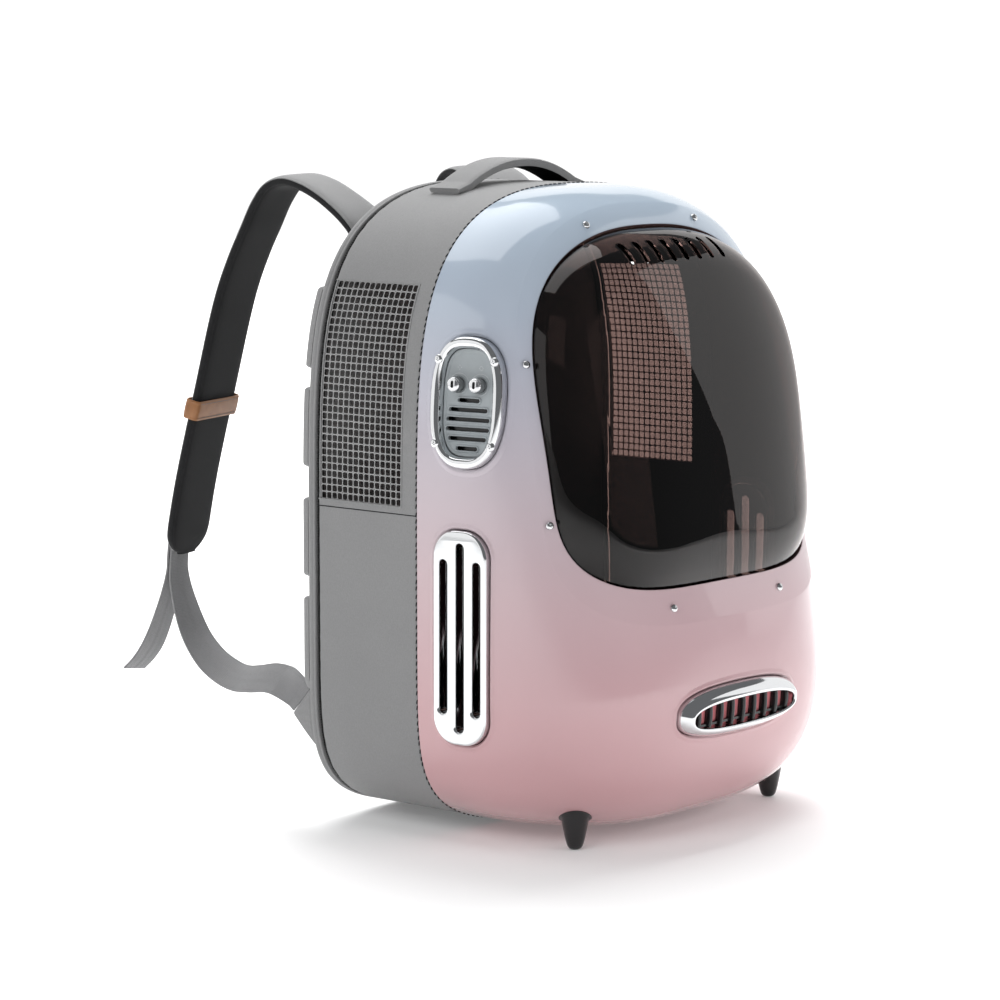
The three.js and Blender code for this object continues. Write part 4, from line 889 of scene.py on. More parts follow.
def panel_marks():
    """A pale arc over each knob, with a few plain dots above it."""
    marks = []
    for u, dots in zip(KNOB_U.values(), (4, 8)):
        angle = np.radians(np.linspace(20, 160, 40))
        rows = []
        for radius, height in [(7.95, -0.5), (7.9, -0.3), (7.55, -0.3), (7.5, -0.5)]:
            across, up = u + radius * np.cos(angle), KNOB_V + radius * np.sin(angle)
            rows.append(PANEL.at(across, up, height - PLATE_DROP))
        marks.append(grid_object("arc", np.array(rows), close_rows=True, close_columns=False, crease=30))
        for turn in np.linspace(0, 2 * math.pi, dots + 1)[:-1]:
            centre = [u + 1.35 * math.cos(turn), KNOB_V + 11.6 + 1.35 * math.sin(turn)]
            dot = superellipse(0.36, 0.36, 2, 12) + centre
            marks.append(prism("dot", PANEL, dot, -0.5 - PLATE_DROP, -0.32 - PLATE_DROP))
    return join("control_panel_marks", marks)


finish_piece(panel_marks(), PANEL_MARK)


def knob(name, u0):
    """A fluted knob with a notch in its end, turning about the panel's normal."""
    count = 96
    angle = np.linspace(0, 2 * math.pi, count, endpoint=False)
    flute = 1 - 0.045 * (0.5 + 0.5 * np.cos(angle * 24)) ** 1.5

    def row(radius, n, depth=0.0):
        r = radius * (1 - depth + depth * flute)
        return PANEL.at(u0 + r * np.cos(angle), KNOB_V + r * np.sin(angle), n)
    rows = [row(2.0, -5), row(2.0, -2.4), row(5.1, -2.4, 1), row(5.3, -2.1, 1), row(5.3, 3.8, 1),
            row(5.1, 4.7, 0.8), row(4.6, 5.4, 0.3), row(4.1, 5.7), row(3.9, 5.6), row(3.6, 5.7), row(2.4, 6.0),
            row(1.2, 6.12), row(0.15, 6.15)]
    body = grid_object(name, np.array(rows), caps=True, crease=45)
    notch = stadium(5.0, 2.2, 24, u0, KNOB_V, upright=True)
    body = cut(body, [prism("notch", PANEL, notch, 4.9, 9)], 45)
    body.data.materials.clear()
    for material in (CHROME, KNOB_DARK, BLACK_PLASTIC):
        body.data.materials.append(material)
    for face in body.data.polygons:
        local = (np.array(face.center) / MM - PANEL.origin) @ np.stack([PANEL.u, PANEL.v, PANEL.n], 1)
        upward = np.dot(np.array(face.normal), PANEL.n)
        in_notch = abs(local[0] - u0) < 1.11 and abs(local[1] - KNOB_V) < 2.52 and 4.8 < local[2] < 5.6
        side_wall = upward < 0.35 and local[2] < 4.9
        face.material_index = 2 if in_notch else 1 if side_wall else 0
    return body


for label, u0 in KNOB_U.items():
    piece = knob(f"knob_{label}_fluted", u0)
    finish_piece(piece, None, body=f"knob_{label}", nodes=[f"knob_{label}"])

for i, (su, sv) in enumerate([(-1, 1), (1, 1), (1, -1), (-1, -1)]):
    spot = Matrix.Translation(Vector((su * 22.2, sv * 28.6, 2.9)) * MM)
    head = screw(f"panel_screw_head_{i + 1}", PANEL.matrix() @ spot, 3.3, 1.5)
    finish_piece(head, CHROME, nodes=[f"panel_screw_{i + 1}"])


# Side vents
def curve_plate(name, outer, holes, low, high, bevel):
    """A plate with rounded edges from a flat outline and its holes."""
    data = bpy.data.curves.new(name, "CURVE")
    data.dimensions = "2D"
    data.fill_mode = "BOTH"
    data.extrude = (high - low) / 2 * MM - bevel * MM
    data.bevel_depth = bevel * MM
    data.bevel_resolution = 4
    for ring_points in [grow(outer, -bevel)] + [grow(hole, bevel) for hole in holes]:
        spline = data.splines.new("POLY")
        spline.points.add(len(ring_points) - 1)
        for point, (u, v) in zip(spline.points, ring_points):
            point.co = (u * MM, v * MM, 0, 1)
        spline.use_cyclic_u = True
    obj = bpy.data.objects.new(name, data)
    bpy.context.scene.collection.objects.link(obj)
    obj = apply_modifiers(obj)
    obj.data.transform(Matrix.Translation((0, 0, (low + high) / 2 * MM)))
    tidy_mesh(obj, 50, merge=True)
    return obj


VENT_SLOTS = [(-14.2, 53), (0.0, 65), (14.2, 53)]
for side, word in ((-1, "left"), (1, "right")):
    holes = [stadium(2 * half, 6.8, 40, u, 0, upright=True) for u, half in VENT_SLOTS]
    plate = curve_plate(f"side_vent_{word}_chrome", VENT_LOOP, holes, -7.5, 2.6, 1.9)
    plate.data.transform(VENTS[side].matrix())
    finish_piece(plate, CHROME, nodes=[f"side_vent_{word}"])


# Front grille
grille_open = superellipse(58.4, 9.3, 2.6, 200, -1.1)
ring = blended_ring("grille_ring_chrome", GRILLE, GRILLE_LOOP, grille_open, [
    (0, -9), (0, 0.3), (0.03, 1.2), (0.1, 2.6), (0.22, 4.3), (0.38, 5.9), (0.54, 7.1), (0.7, 7.8), (0.82, 8.05),
    (0.9, 7.95), (0.96, 7.6), (1, 7.0), (1.0, 5.5), (1.0, -9)])
finish_piece(ring, CHROME, nodes=["grille_ring"])


SLATS, SLAT_PITCH = 9, 12.8


def grille_slats():
    """Bowed upright bars over a shelf."""
    bars = []
    inner = superellipse(58.0, 8.9, 2.6, 240, -1.1)
    upper = inner[inner[:, 1] > -1.1]
    upper = upper[np.argsort(upper[:, 0])]
    for i in range(SLATS):
        u0 = (i - (SLATS - 1) / 2) * SLAT_PITCH
        tall = np.interp(abs(u0), upper[:, 0], upper[:, 1] + 1.1)
        rows = []
        for v_share in np.linspace(-1, 1, 9):
            bow = 0.7 * (1 - v_share ** 2)
            section = [(-1.9, -9), (-1.9, 4.6 + bow), (-1.5, 5.5 + bow), (-0.6, 6.0 + bow), (0.6, 6.0 + bow),
                       (1.5, 5.5 + bow), (1.9, 4.6 + bow), (1.9, -9)]
            rows.append([GRILLE.at(u0 + u, -1.1 + v_share * tall, n) for u, n in section])
        bars.append(grid_object("bar", np.array(rows), caps=True, crease=35))
    shelf = rounded_rectangle(52, 0.8, 0.5, 16, 0, -1.1 - 5.6)
    bars.append(prism("shelf", GRILLE, shelf, -9, 4.2))
    return join("grille_slats_black", bars)


finish_piece(grille_slats(), BLACK_PLASTIC, nodes=["grille_slats"])


def grille_back():
    """A ribbed pan behind the slats, in a darker pink than the shell's that is painted shade."""
    width, rows = 58.0, []
    u = np.linspace(-width, width, 240)
    for v in (-10.6, 8.4):
        rows.append(GRILLE.at(u, v, 1.6 + 0.3 * np.cos(u * 2 * math.pi / 1.6)))
    for v in (8.4, -10.6):
        rows.append(GRILLE.at(u, v, 0.2))
    return grid_object("grille_back_pan", np.array(rows), close_rows=True, close_columns=False, crease=60)


finish_piece(grille_back(), GRILLE_BACK)


# Front feet
for side, word in ((-1, "left"), (1, "right")):
    profile = [(0.3, 0), (2.6, 0.15), (4.2, 0.9), (5.3, 2.4), (6.1, 4.8), (7.2, 9), (8.6, 16), (9.8, 23),
               (10.7, 30), (11.2, 38), (11.4, 46)]
    angle = np.linspace(0, 2 * math.pi, 48, endpoint=False)
    x0, y0 = side * 0.6784 * HALF_WIDTH, SEAM_Y - 0.6371 * DOME_DEPTH
    rows = np.array([np.stack([x0 + r * np.cos(angle), y0 + r * np.sin(angle), np.full(48, h)], 1)
                     for r, h in profile])
    for row in rows:
        limit = boundary(lambda z: dome_value(row[:, 0], SEAM_Y - row[:, 1], z) > 0, np.zeros(48), 60.0)
        row[:, 2] = np.minimum(row[:, 2], limit - 0.2)
    finish_piece(grid_object(f"foot_{word}_tapered", rows, caps=True, crease=50), BLACK_PLASTIC,
                 nodes=[f"foot_{word}"])


# Fabric middle
MESH_Y, MESH_HALF = 0.2, 37.6
MESH_LOW, MESH_HIGH = 0.5178 * HEIGHT, 0.8556 * HEIGHT
SEAM_LINE_Z = 228.0


def split_columns(columns, heights):
    """An outline whose columns also lie on given heights, on both sides."""
    base = outline(columns)
    for z in heights:
        for side in (1, -1):
            point = np.array([side * float(body_half_width(z)), z])
            distance = np.hypot(*(base - point).T)
            base[distance.argmin()] = point
    return base


def fabric_body():
    """The cloth sleeve, a little uneven, with its wall closed round both mesh windows."""
    heights = [MESH_LOW, MESH_HIGH, SEAM_LINE_Z]
    ring_loop = split_columns(420, heights)
    y_lines = np.concatenate([
        [FABRIC_FRONT_Y, FABRIC_FRONT_Y + 0.6], np.linspace(FABRIC_FRONT_Y + 2.4, MESH_Y - MESH_HALF - 0.8, 8),
        [MESH_Y - MESH_HALF], np.linspace(MESH_Y - MESH_HALF + 3, MESH_Y + MESH_HALF - 3, 30),
        [MESH_Y + MESH_HALF, FABRIC_BACK_Y - 1.1, FABRIC_BACK_Y - 0.6]])
    rng = np.random.default_rng(11)
    phase = rng.uniform(0, 6.28, 6)
    length = np.concatenate([[0], np.cumsum(np.linalg.norm(np.diff(ring_loop, axis=0), axis=1))])
    outer = []
    for y in y_lines:
        edge = min(y - FABRIC_FRONT_Y, FABRIC_BACK_Y - 0.6 - y)
        roll = 0.7 * max(0.0, 1 - edge / 0.6) ** 2
        wave = sum(0.05 * np.sin(length / w + p + y / 30) for w, p in zip((9, 14, 23, 37, 55, 80), phase))
        pucker = 0.16 * np.sin(length / 2.2) * math.exp(-max(edge, 0) / 2.5)
        inset = roll + (0.12 + 0.5 * wave * (edge > 1) - pucker * (edge < 6))
        outer.append(outline_row(ring_loop, inset, y))
    outer = np.array(outer)
    inner = np.array([outline_row(ring_loop, 2.3, y) for y in y_lines])
    rows = np.concatenate([outer, inner[::-1]])
    count_rows, count_columns = rows.shape[:2]
    half = len(y_lines)
    gap_rows = [j for j in range(half - 1)
                if y_lines[j] >= MESH_Y - MESH_HALF - 1e-6 and y_lines[j + 1] <= MESH_Y + MESH_HALF + 1e-6]
    z = ring_loop[:, 1]
    faces, walls = [], []

    def in_gap(j, i):
        mid = (z[i] + z[(i + 1) % count_columns]) / 2
        side_on = abs(ring_loop[i, 0]) > 60 and abs(ring_loop[(i + 1) % count_columns, 0]) > 60
        return j in gap_rows and side_on and MESH_LOW < mid < MESH_HIGH

    for j in range(count_rows):
        j2 = (j + 1) % count_rows
        for i in range(count_columns):
            i2 = (i + 1) % count_columns
            level = j if j < half else 2 * half - 2 - j
            if j < half - 1 and in_gap(j, i):
                continue
            if half <= j < count_rows - 1 and in_gap(level, i):
                continue
            faces.append((j * count_columns + i, j * count_columns + i2, j2 * count_columns + i2,
                          j2 * count_columns + i))
    mirror = lambda j: 2 * half - 1 - j
    for j in range(half - 1):
        for i in range(count_columns):
            if not in_gap(j, i):
                continue
            i2, j2 = (i + 1) % count_columns, j + 1
            for (ja, ia), (jb, ib), (jn, im) in (((j, i), (j, i2), (j - 1, i)), ((j2, i2), (j2, i), (j2, i)),
                                                 ((j2, i), (j, i), (j, (i - 1) % count_columns)),
                                                 ((j, i2), (j2, i2), (j, i2))):
                if not in_gap(jn, im):
                    walls.append((ja * count_columns + ia, jb * count_columns + ib,
                                  mirror(jb) * count_columns + ib, mirror(ja) * count_columns + ia))
    obj = make_object("fabric_body_canvas", rows.reshape(-1, 3), faces + walls, grid_uvs(rows))
    tidy_mesh(obj, 50)
    obj.data.materials.append(CANVAS)
    obj.data.materials.append(DARK_LINING_AND_SHADE)
    # Faces turned inwards take the near-black cloth: dark lining and painted shade inside the cabin.
    for face in obj.data.polygons:
        centre = np.array(face.center) / MM
        along = np.array([centre[0], 0, centre[2] - HEIGHT / 2])
        face.material_index = 1 if np.dot(np.array(face.normal), along) < 0 and abs(face.normal[1]) < 0.5 else 0
    return obj


finish_piece(fabric_body(), None, nodes=["fabric_body"])


def net(side):
    """A net with round-cornered gaps, on the curve of the body's side."""
    columns, rows, corners = 15, 30, 16
    y_low, y_high = MESH_Y - MESH_HALF + 0.3, MESH_Y + MESH_HALF - 0.3
    z_low, z_high = MESH_LOW + 0.3, MESH_HIGH - 0.3
    pitch_y, pitch_z = (y_high - y_low) / columns, (z_high - z_low) / rows
    ring = []
    for k in range(corners):
        a = 2 * math.pi * (k + 0.5) / corners
        bend = lambda v: math.copysign(abs(v) ** (2 / 4.2), v)
        ring.append((bend(math.cos(a)), bend(math.sin(a))))
    layers = [(1.0, 0.0), (0.90, 0.02), (0.86, 0.1), (0.85, 0.25), (0.86, 0.4), (0.90, 0.48), (1.0, 0.5)]
    rng = np.random.default_rng(3 + side)
    points, faces = [], []
    for r in range(rows):
        for c in range(columns):
            cy = y_low + (c + 0.5) * pitch_y
            cz = z_low + (r + 0.5) * pitch_z
            sy, sz = rng.normal(0, 0.05, 2)
            start = len(points)
            for share, depth in layers:
                for y_share, z_share in ring:
                    if share == 1.0:
                        big = max(abs(y_share), abs(z_share))
                        dy, dz = y_share / big * pitch_y / 2, z_share / big * pitch_z / 2
                        points.append((cy + dy, cz + dz, depth))
                    else:
                        points.append((cy + sy + y_share * share * pitch_y / 2,
                                       cz + sz + z_share * share * pitch_z / 2, depth))
            for layer in range(len(layers) - 1):
                for k in range(corners):
                    k2 = (k + 1) % corners
                    a, b = start + layer * corners, start + (layer + 1) * corners
                    faces.append((a + k, a + k2, b + k2, b + k))
    table = np.array(points)
    y, z, depth = table.T
    x = side * (body_half_width(z) - 0.75 - depth)
    return make_object("net", np.stack([x, y, z], 1), faces)


for side, word in ((-1, "left"), (1, "right")):
    piece = net(side)
    piece.name = f"mesh_panel_{word}_net"
    tidy_mesh(piece, 50, merge=True)
    finish_piece(piece, NET, nodes=[f"mesh_panel_{word}"])


def ribbon(name, path, normals, width, thickness):
    """A thin strip with rounded edges that lies on a surface."""
    path, normals = np.asarray(path, float), np.asarray(normals, float)
    forward = normalise(np.gradient(path, axis=0))
    across = normalise(np.cross(forward, normals))
    half = width / 2
    section = [(-half, 0), (-half * 0.96, thickness * 0.6), (-half * 0.85, thickness),
               (half * 0.85, thickness), (half * 0.96, thickness * 0.6), (half, 0), (half * 0.8, -0.3),
               (-half * 0.8, -0.3)]
    rows = np.array([path + across * a + normals * b for a, b in section]).transpose(1, 0, 2)
    return grid_object(name, rows, caps=True, crease=50)


def side_strip(name, side, y_values, z_values, width, thickness):
    """A ribbon on the side of the body, through given heights and depths."""
    y_values, z_values = np.broadcast_arrays(np.asarray(y_values, float), np.asarray(z_values, float))
    x = body_half_width(z_values)
    slope = body_half_width(z_values + 0.5) - body_half_width(z_values - 0.5)
    normals = normalise(np.stack([np.full(len(x), float(side)), np.zeros(len(x)), -slope], 1))
    path = np.stack([side * x, y_values, z_values], 1)
    return ribbon(name, path, normals, width, thickness)


# Bindings round the mesh windows and the sewn joint under them
for side, word in ((-1, "left"), (1, "right")):
    y_front, y_back = MESH_Y - MESH_HALF, MESH_Y + MESH_HALF
    strips = [
        side_strip("bind", side, y_front - 0.2, np.linspace(MESH_LOW - 0.6, MESH_HIGH + 0.6, 40), 1.3, 0.28),
        side_strip("bind", side, np.linspace(y_front, FABRIC_BACK_Y - 0.6, 24), MESH_HIGH + 0.2, 1.0, 0.22),
        side_strip("bind", side, np.linspace(y_front, FABRIC_BACK_Y - 0.6, 24), MESH_LOW - 0.2, 1.0, 0.22),
    ]
    finish_piece(join(f"mesh_binding_{word}", strips), CANVAS_SPACE)
    seam_y = np.linspace(FABRIC_FRONT_Y + 0.4, FABRIC_BACK_Y - 0.4, 60)
    seam = side_strip("seam", side, seam_y, SEAM_LINE_Z, 0.7, 0.12)
    finish_piece(seam, THREAD).name = f"side_seam_{word}"


def stitches(name, points, normals, directions, length, radius):
    """Short rounded stitches, half sunk in what carries them."""
    all_points, faces = [], []
    angle = np.linspace(0, 2 * math.pi, 6, endpoint=False)
    for p, n, d in zip(points, normals, directions):
        side_way = normalise(np.cross(n, d))
        start = len(all_points)
        for t, r in ((-0.5, 0.25), (-0.38, 0.9), (0, 1.0), (0.38, 0.9), (0.5, 0.25)):
            centre = p + d * t * length + n * radius * (0.35 if abs(t) < 0.45 else -0.2)
            for a in angle:
                all_points.append(centre + (side_way * math.cos(a) + n * math.sin(a)) * radius * r)
        for j in range(4):
            for i in range(6):
                i2, low, high = (i + 1) % 6, start + j * 6, start + (j + 1) * 6
                faces.append((low + i, low + i2, high + i2, high + i))
        faces.append(tuple(start + i for i in range(6)))
        faces.append(tuple(start + 24 + i for i in range(6))[::-1])
    obj = make_object(name, all_points, faces)
    tidy_mesh(obj, 60)
    return obj


def along_outline(y, pitch, inset, low=-1.0, jitter=0.0):
    """Places along the body's outline at even lengths, with normals and directions."""
    fine = inset_outline(outline(1200), inset)
    closed = np.concatenate([fine, fine[:1]])
    length = np.concatenate([[0], np.cumsum(np.linalg.norm(np.diff(closed, axis=0), axis=1))])
    wanted = np.arange(0, length[-1] - pitch / 2, pitch)
    rng = np.random.default_rng(5)
    wanted = wanted + rng.normal(0, 1, len(wanted)) * jitter
    x, z = np.interp(wanted, length, closed[:, 0]), np.interp(wanted, length, closed[:, 1])
    x2, z2 = np.interp(wanted + 0.5, length, closed[:, 0]), np.interp(wanted + 0.5, length, closed[:, 1])
    d = normalise(np.stack([x2 - x, 0 * x, z2 - z], 1))
    n = np.stack([d[:, 2], 0 * x, -d[:, 0]], 1)
    keep = z > low
    y = np.full(len(x), float(y))
    return np.stack([x, y, z], 1)[keep], n[keep], d[keep]


# Dark stitches beside the shell's seam
p, n, d = along_outline(FABRIC_FRONT_Y + 0.5, 5.2, 0.1, low=2, jitter=0.35)
tilt = normalise(d + np.array([0, 0.22, 0]))
finish_piece(stitches("shell_seam_stitches", p, n, tilt, 3.4, 0.5), THREAD)

# A near-black tape inside, over the joint of the shell and the fabric; its near-black is painted shade inside
# the cabin
tape = [outline_row(outline(300), inset, y) for inset, y in
        ((2.6, SEAM_Y - 5), (3.3, SEAM_Y - 5), (3.3, FABRIC_FRONT_Y + 5), (2.5, FABRIC_FRONT_Y + 5))]
finish_piece(grid_object("seam_inner_tape", np.array(tape), close_rows=True), DARK_LINING_AND_SHADE)


# Zip between the fabric and the back; its near-black tape also stands for the shade in the gap, as painted
# shade
def zip_line():
    ring_loop = outline(360)
    section = [(3.0, PIPING_FRONT_Y - 0.5), (2.5, PIPING_FRONT_Y + 0.5), (2.3, PIPING_FRONT_Y + 1.3),
               (2.5, PIPING_FRONT_Y + 2.1), (3.0, PIPING_BACK_Y + 0.2), (6, PIPING_BACK_Y), (6, PIPING_FRONT_Y)]
    return grid_object("seam_piping_tape", np.array([outline_row(ring_loop, i, y) for i, y in section]),
                       close_rows=True, crease=50)


finish_piece(zip_line(), ZIP_TAPE_AND_GAP_SHADE, nodes=["seam_piping"])
p, n, d = along_outline((PIPING_FRONT_Y + PIPING_BACK_Y) / 2, 1.9, 2.3)
finish_piece(stitches("seam_zip_coil", p, n, np.tile([0.0, 1.0, 0.0], (len(p), 1)), 1.9, 0.55), ZIP_TAPE_AND_GAP_SHADE)
p, n, d = along_outline(FABRIC_BACK_Y - 0.2, 6.5, 0.3, low=20, jitter=1.8)
finish_piece(stitches("seam_loose_threads", p, n, np.tile([0.0, 1.0, 0.0], (len(p), 1)), 1.6, 0.3), THREAD)


# Padded back
def back_panel():
    """The padded board with a groove round its edge."""
    ring_loop = outline(420)
    rows = []
    for inset, start, depth in [
            (2.2, BACK_FRONT_Y, 0), (0.7, BACK_FRONT_Y, 0), (0.15, BACK_FRONT_Y, 0.25), (0, BACK_FRONT_Y, 0.8),
            (0, BACK_FRONT_Y, 1.6), (0.35, BACK_FRONT_Y, 2.0), (0.45, BACK_FRONT_Y, 2.3),
            (0.2, BACK_FRONT_Y, 2.7), (0, BACK_FRONT_Y, 3.4), (0, BACK_Y, -2.6), (0.3, BACK_Y, -1.4), (1.1, BACK_Y, -0.45),
            (2.4, BACK_Y, -0.05), (4.0, BACK_Y, 0)]:
        rows.append(outline_row(ring_loop, inset, start + depth))
    return grid_object("back_panel_board", np.array(rows), caps=True, crease=60)


finish_piece(back_panel(), CANVAS, nodes=["back_panel"])


def back_cushion(index, low_share, high_share):
    """A crowned cushion with a sewn edge and shallow channels."""
    low, high = low_share * HEIGHT, high_share * HEIGHT
    seat, top = BACK_Y, BACK_Y + 7.0
    columns, rows = 150, 44
    share = np.linspace(-1, 1, columns)
    share = np.sign(share) * (1 - (1 - np.abs(share)) ** 1.3)
    level = np.linspace(-1, 1, rows)
    level = np.sign(level) * (1 - (1 - np.abs(level)) ** 1.6)
    grid = np.zeros((rows, columns, 3))
    for j, t in enumerate(level):
        z = (low + high) / 2 + t * (high - low) / 2
        corner = 3.0 * max(0.0, (abs(z - (low + high) / 2) - (high - low) / 2 + 3.0) / 3.0) ** 2.4
        reach = float(body_half_width(z)) - 1.0 - 4.0 * float(smooth_step((104 - z) / 14)) - corner
        x = share * reach
        edge_x = reach - np.abs(x)
        edge_z = (high - low) / 2 * (1 - abs(t))
        edge = np.minimum(edge_x, edge_z)
        rounding = np.sqrt(np.clip(1 - (1 - np.clip(edge / 4.2, 0, 1)) ** 2, 0, 1))
        height = (top - seat) * (0.35 + 0.65 * rounding)
        channel = 0.9 * np.exp(-((np.abs(x) - 52) / 2.2) ** 2) * smooth_step(edge_z / 6)
        seam = 0.8 * np.exp(-((edge - 6.5) / 0.9) ** 2)
        grid[j] = np.stack([x, seat + np.maximum(height - channel - seam, 0.3), np.full(columns, z)], 1)
    base = grid.copy()
    base[..., 1] = seat
    border = ([(0, i) for i in range(columns)] + [(j, columns - 1) for j in range(1, rows)]
              + [(rows - 1, i) for i in range(columns - 2, -1, -1)] + [(j, 0) for j in range(rows - 2, 0, -1)])
    points = list(grid.reshape(-1, 3))
    faces = grid_faces(rows, columns, False, False)
    start = len(points)
    points += [base[j, i] for j, i in border]
    for k in range(len(border)):
        k2 = (k + 1) % len(border)
        a, b = border[k], border[k2]
        faces.append((a[0] * columns + a[1], b[0] * columns + b[1], start + k2, start + k))
    faces.append(tuple(range(start, start + len(border))))
    obj = make_object(f"back_cushion_{index}", points, faces, np.array(points)[:, [0, 2]])
    tidy_mesh(obj, 60)
    return obj


CUSHION_HEIGHTS = [(0.718, 0.844), (0.564, 0.689), (0.391, 0.516), (0.129, 0.36)]
for index, (low_share, high_share) in enumerate(CUSHION_HEIGHTS, 1):
    finish_piece(back_cushion(index, low_share, high_share), CANVAS, nodes=[f"back_pad_{index}"])


# Bands swept through stations
def catmull(stations, count):
    """A smooth centripetal curve through points, as the solids' bands follow it."""
    points = np.array([s["point"] for s in stations])
    n = len(points)
    result = []
    for k in range(count + 1):
        place = k / count * (n - 1)
        i = min(int(place), n - 2)
        w = place - i
        p0 = points[i - 1] if i > 0 else 2 * points[0] - points[1]
        p3 = points[i + 2] if i + 2 < n else 2 * points[-1] - points[-2]
        p1, p2 = points[i], points[i + 1]
        d0, d1, d2 = (max(np.linalg.norm(b - a) ** 0.5, 1e-4) for a, b in ((p0, p1), (p1, p2), (p2, p3)))
        t1 = ((p1 - p0) / d0 - (p2 - p0) / (d0 + d1) + (p2 - p1) / d1) * d1
        t2 = ((p2 - p1) / d1 - (p3 - p1) / (d1 + d2) + (p3 - p2) / d2) * d1
        point = ((2 * p1 - 2 * p2 + t1 + t2) * w ** 3 + (-3 * p1 + 3 * p2 - 2 * t1 - t2) * w ** 2 + t1 * w + p1)
        across = normalise(stations[i]["across"] * (1 - w) + stations[i + 1]["across"] * w)
        width = stations[i]["width"] * (1 - w) + stations[i + 1]["width"] * w
        result.append(dict(point=point, across=across, width=width))
    return result


def sweep(name, stations, section, crease=50):
    """section(width, t) gives the offsets across and out at each station."""
    points = np.array([s["point"] for s in stations])
    forward = normalise(np.gradient(points, axis=0))
    across = np.array([s["across"] for s in stations])
    across = normalise(across - forward * (across * forward).sum(1, keepdims=True))
    out = np.cross(across, forward)
    rows = []
    for k, station in enumerate(stations):
        t = k / (len(stations) - 1)
        rows.append([station["point"] + across[k] * a + out[k] * b for a, b in section(station["width"], t)])
    rows = np.array(rows)
    return grid_object(name, rows, caps=True, crease=crease), rows


def flip(stations, sign):
    """Stations whose out direction points the wanted way."""
    if sign > 0:
        return stations
    return [dict(s, across=-s["across"]) for s in stations]


# Carry handle
upper_z = float(boundary(lambda z: body_half_width(z) > 66, WIDEST_Z, HEIGHT))


def carry_handle():
    """A padded band that arches over the top, flat where it is sewn down."""
    steps = 90
    stations = []
    for i in range(steps + 1):
        x = -72 + 144 * i / steps
        arch = 1 - abs(x / 66) ** 2.1
        flat = smooth_step((abs(x) - 50) / 14)
        z = upper_z + 19.5 * arch
        surface = float(boundary(lambda v: body_half_width(v) > abs(x), WIDEST_Z, HEIGHT))
        z = max(z, surface + 0.4 + 2.8 - 0.6 * flat)
        stations.append(dict(point=np.array([x, 4.4, z]), across=np.array([0, -1.0, 0]), width=28.4))
    stations = flip(stations, -1)

    def section(width, t):
        end = abs(2 * t - 1)
        thick = 2.8 - 0.9 * float(smooth_step((end - 0.8) / 0.2))
        crown = 1.7 * (1 - 0.6 * float(smooth_step((end - 0.75) / 0.25)))
        pinch = 1 - 0.03 * float(smooth_step(end))
        half = width / 2 * pinch
        top = []
        for s in np.linspace(-1, 1, 25):
            seam = 0.5 * math.exp(-((abs(s) - 0.84) / 0.035) ** 2)
            side_drop = thick * 1.1 * max(0.0, (abs(s) - 0.9) / 0.1) ** 2
            top.append((s * half, thick + crown * (1 - abs(s) ** 2.6) - seam - side_drop))
        bottom = [(s * half, -thick + 0.9 * max(0.0, (abs(s) - 0.88) / 0.12) ** 2)
                  for s in np.linspace(1, -1, 15)]
        return top + bottom

    handle, _ = sweep("carry_handle_padded", stations, section)
    handle.data.materials.append(STRAP_FACE)
    handle.data.materials.append(DARK_LINING_AND_SHADE)
    # The middle of the handle's underside takes the near-black cloth: painted shade under the arch.
    for face in handle.data.polygons:
        middle = abs(face.center[0]) < 0.058 and abs(face.center[1] - 0.0044) < 0.0125
        face.material_index = 1 if middle and face.normal[2] < -0.75 else 0
    return handle


handle = carry_handle()
finish_piece(handle, None, nodes=["carry_handle"])


# Shoulder straps
PLAN = math.radians(14)
STRAP_X, STRAP_REACH, STRAP_THICKNESS, STRAP_WIDTH = 0.509 * HALF_WIDTH, 162.0, 8.5, 57.0
strap_seat = BACK_Y + CLEARANCE + STRAP_THICKNESS / 2
STRAP_ROUTE = [
    (0, 0.871, 0, 1), (0, 0.9, 0, 1), (0.025, 0.922, 0.3, 1), (0.105, 0.949, 0.8, 1), (0.21, 0.976, 1, 1),
    (0.305, 0.994, 1, 1), (0.4, 1.002, 1, 1), (0.475, 0.993, 1, 1), (0.533, 0.968, 1, 1), (0.594, 0.925, 1, 1),
    (0.66, 0.876, 1, 1), (0.726, 0.815, 1, 1), (0.841, 0.658, 1, 1), (0.944, 0.509, 1, 1), (0.99, 0.424, 1, 1),
    (1, 0.4, 1, 0.8), (1.003, 0.386, 1, 0.42)]
strap_end_z = STRAP_ROUTE[-1][1] * HEIGHT


def strap_stations(side, count):
    stations = []
    for reach, height, turn, width in STRAP_ROUTE:
        a, r = PLAN * turn, reach * STRAP_REACH
        x, y = side * (STRAP_X + r * math.sin(PLAN)), strap_seat + r * math.cos(PLAN)
        stations.append(dict(
            point=np.array([x, y, height * HEIGHT]),
            across=np.array([-side * math.cos(a), math.sin(a), 0]), width=STRAP_WIDTH * width))
    result = catmull(stations, count)
    for s in result:
        s["point"][1] = max(s["point"][1], strap_seat)
    return result


def strap_sign(stations):
    """1 where across x forward points away from the pack on the falling stretch."""
    k = int(len(stations) * 0.75)
    forward = normalise(stations[k + 1]["point"] - stations[k - 1]["point"])
    return 1 if np.cross(stations[k]["across"], forward)[1] > 0 else -1


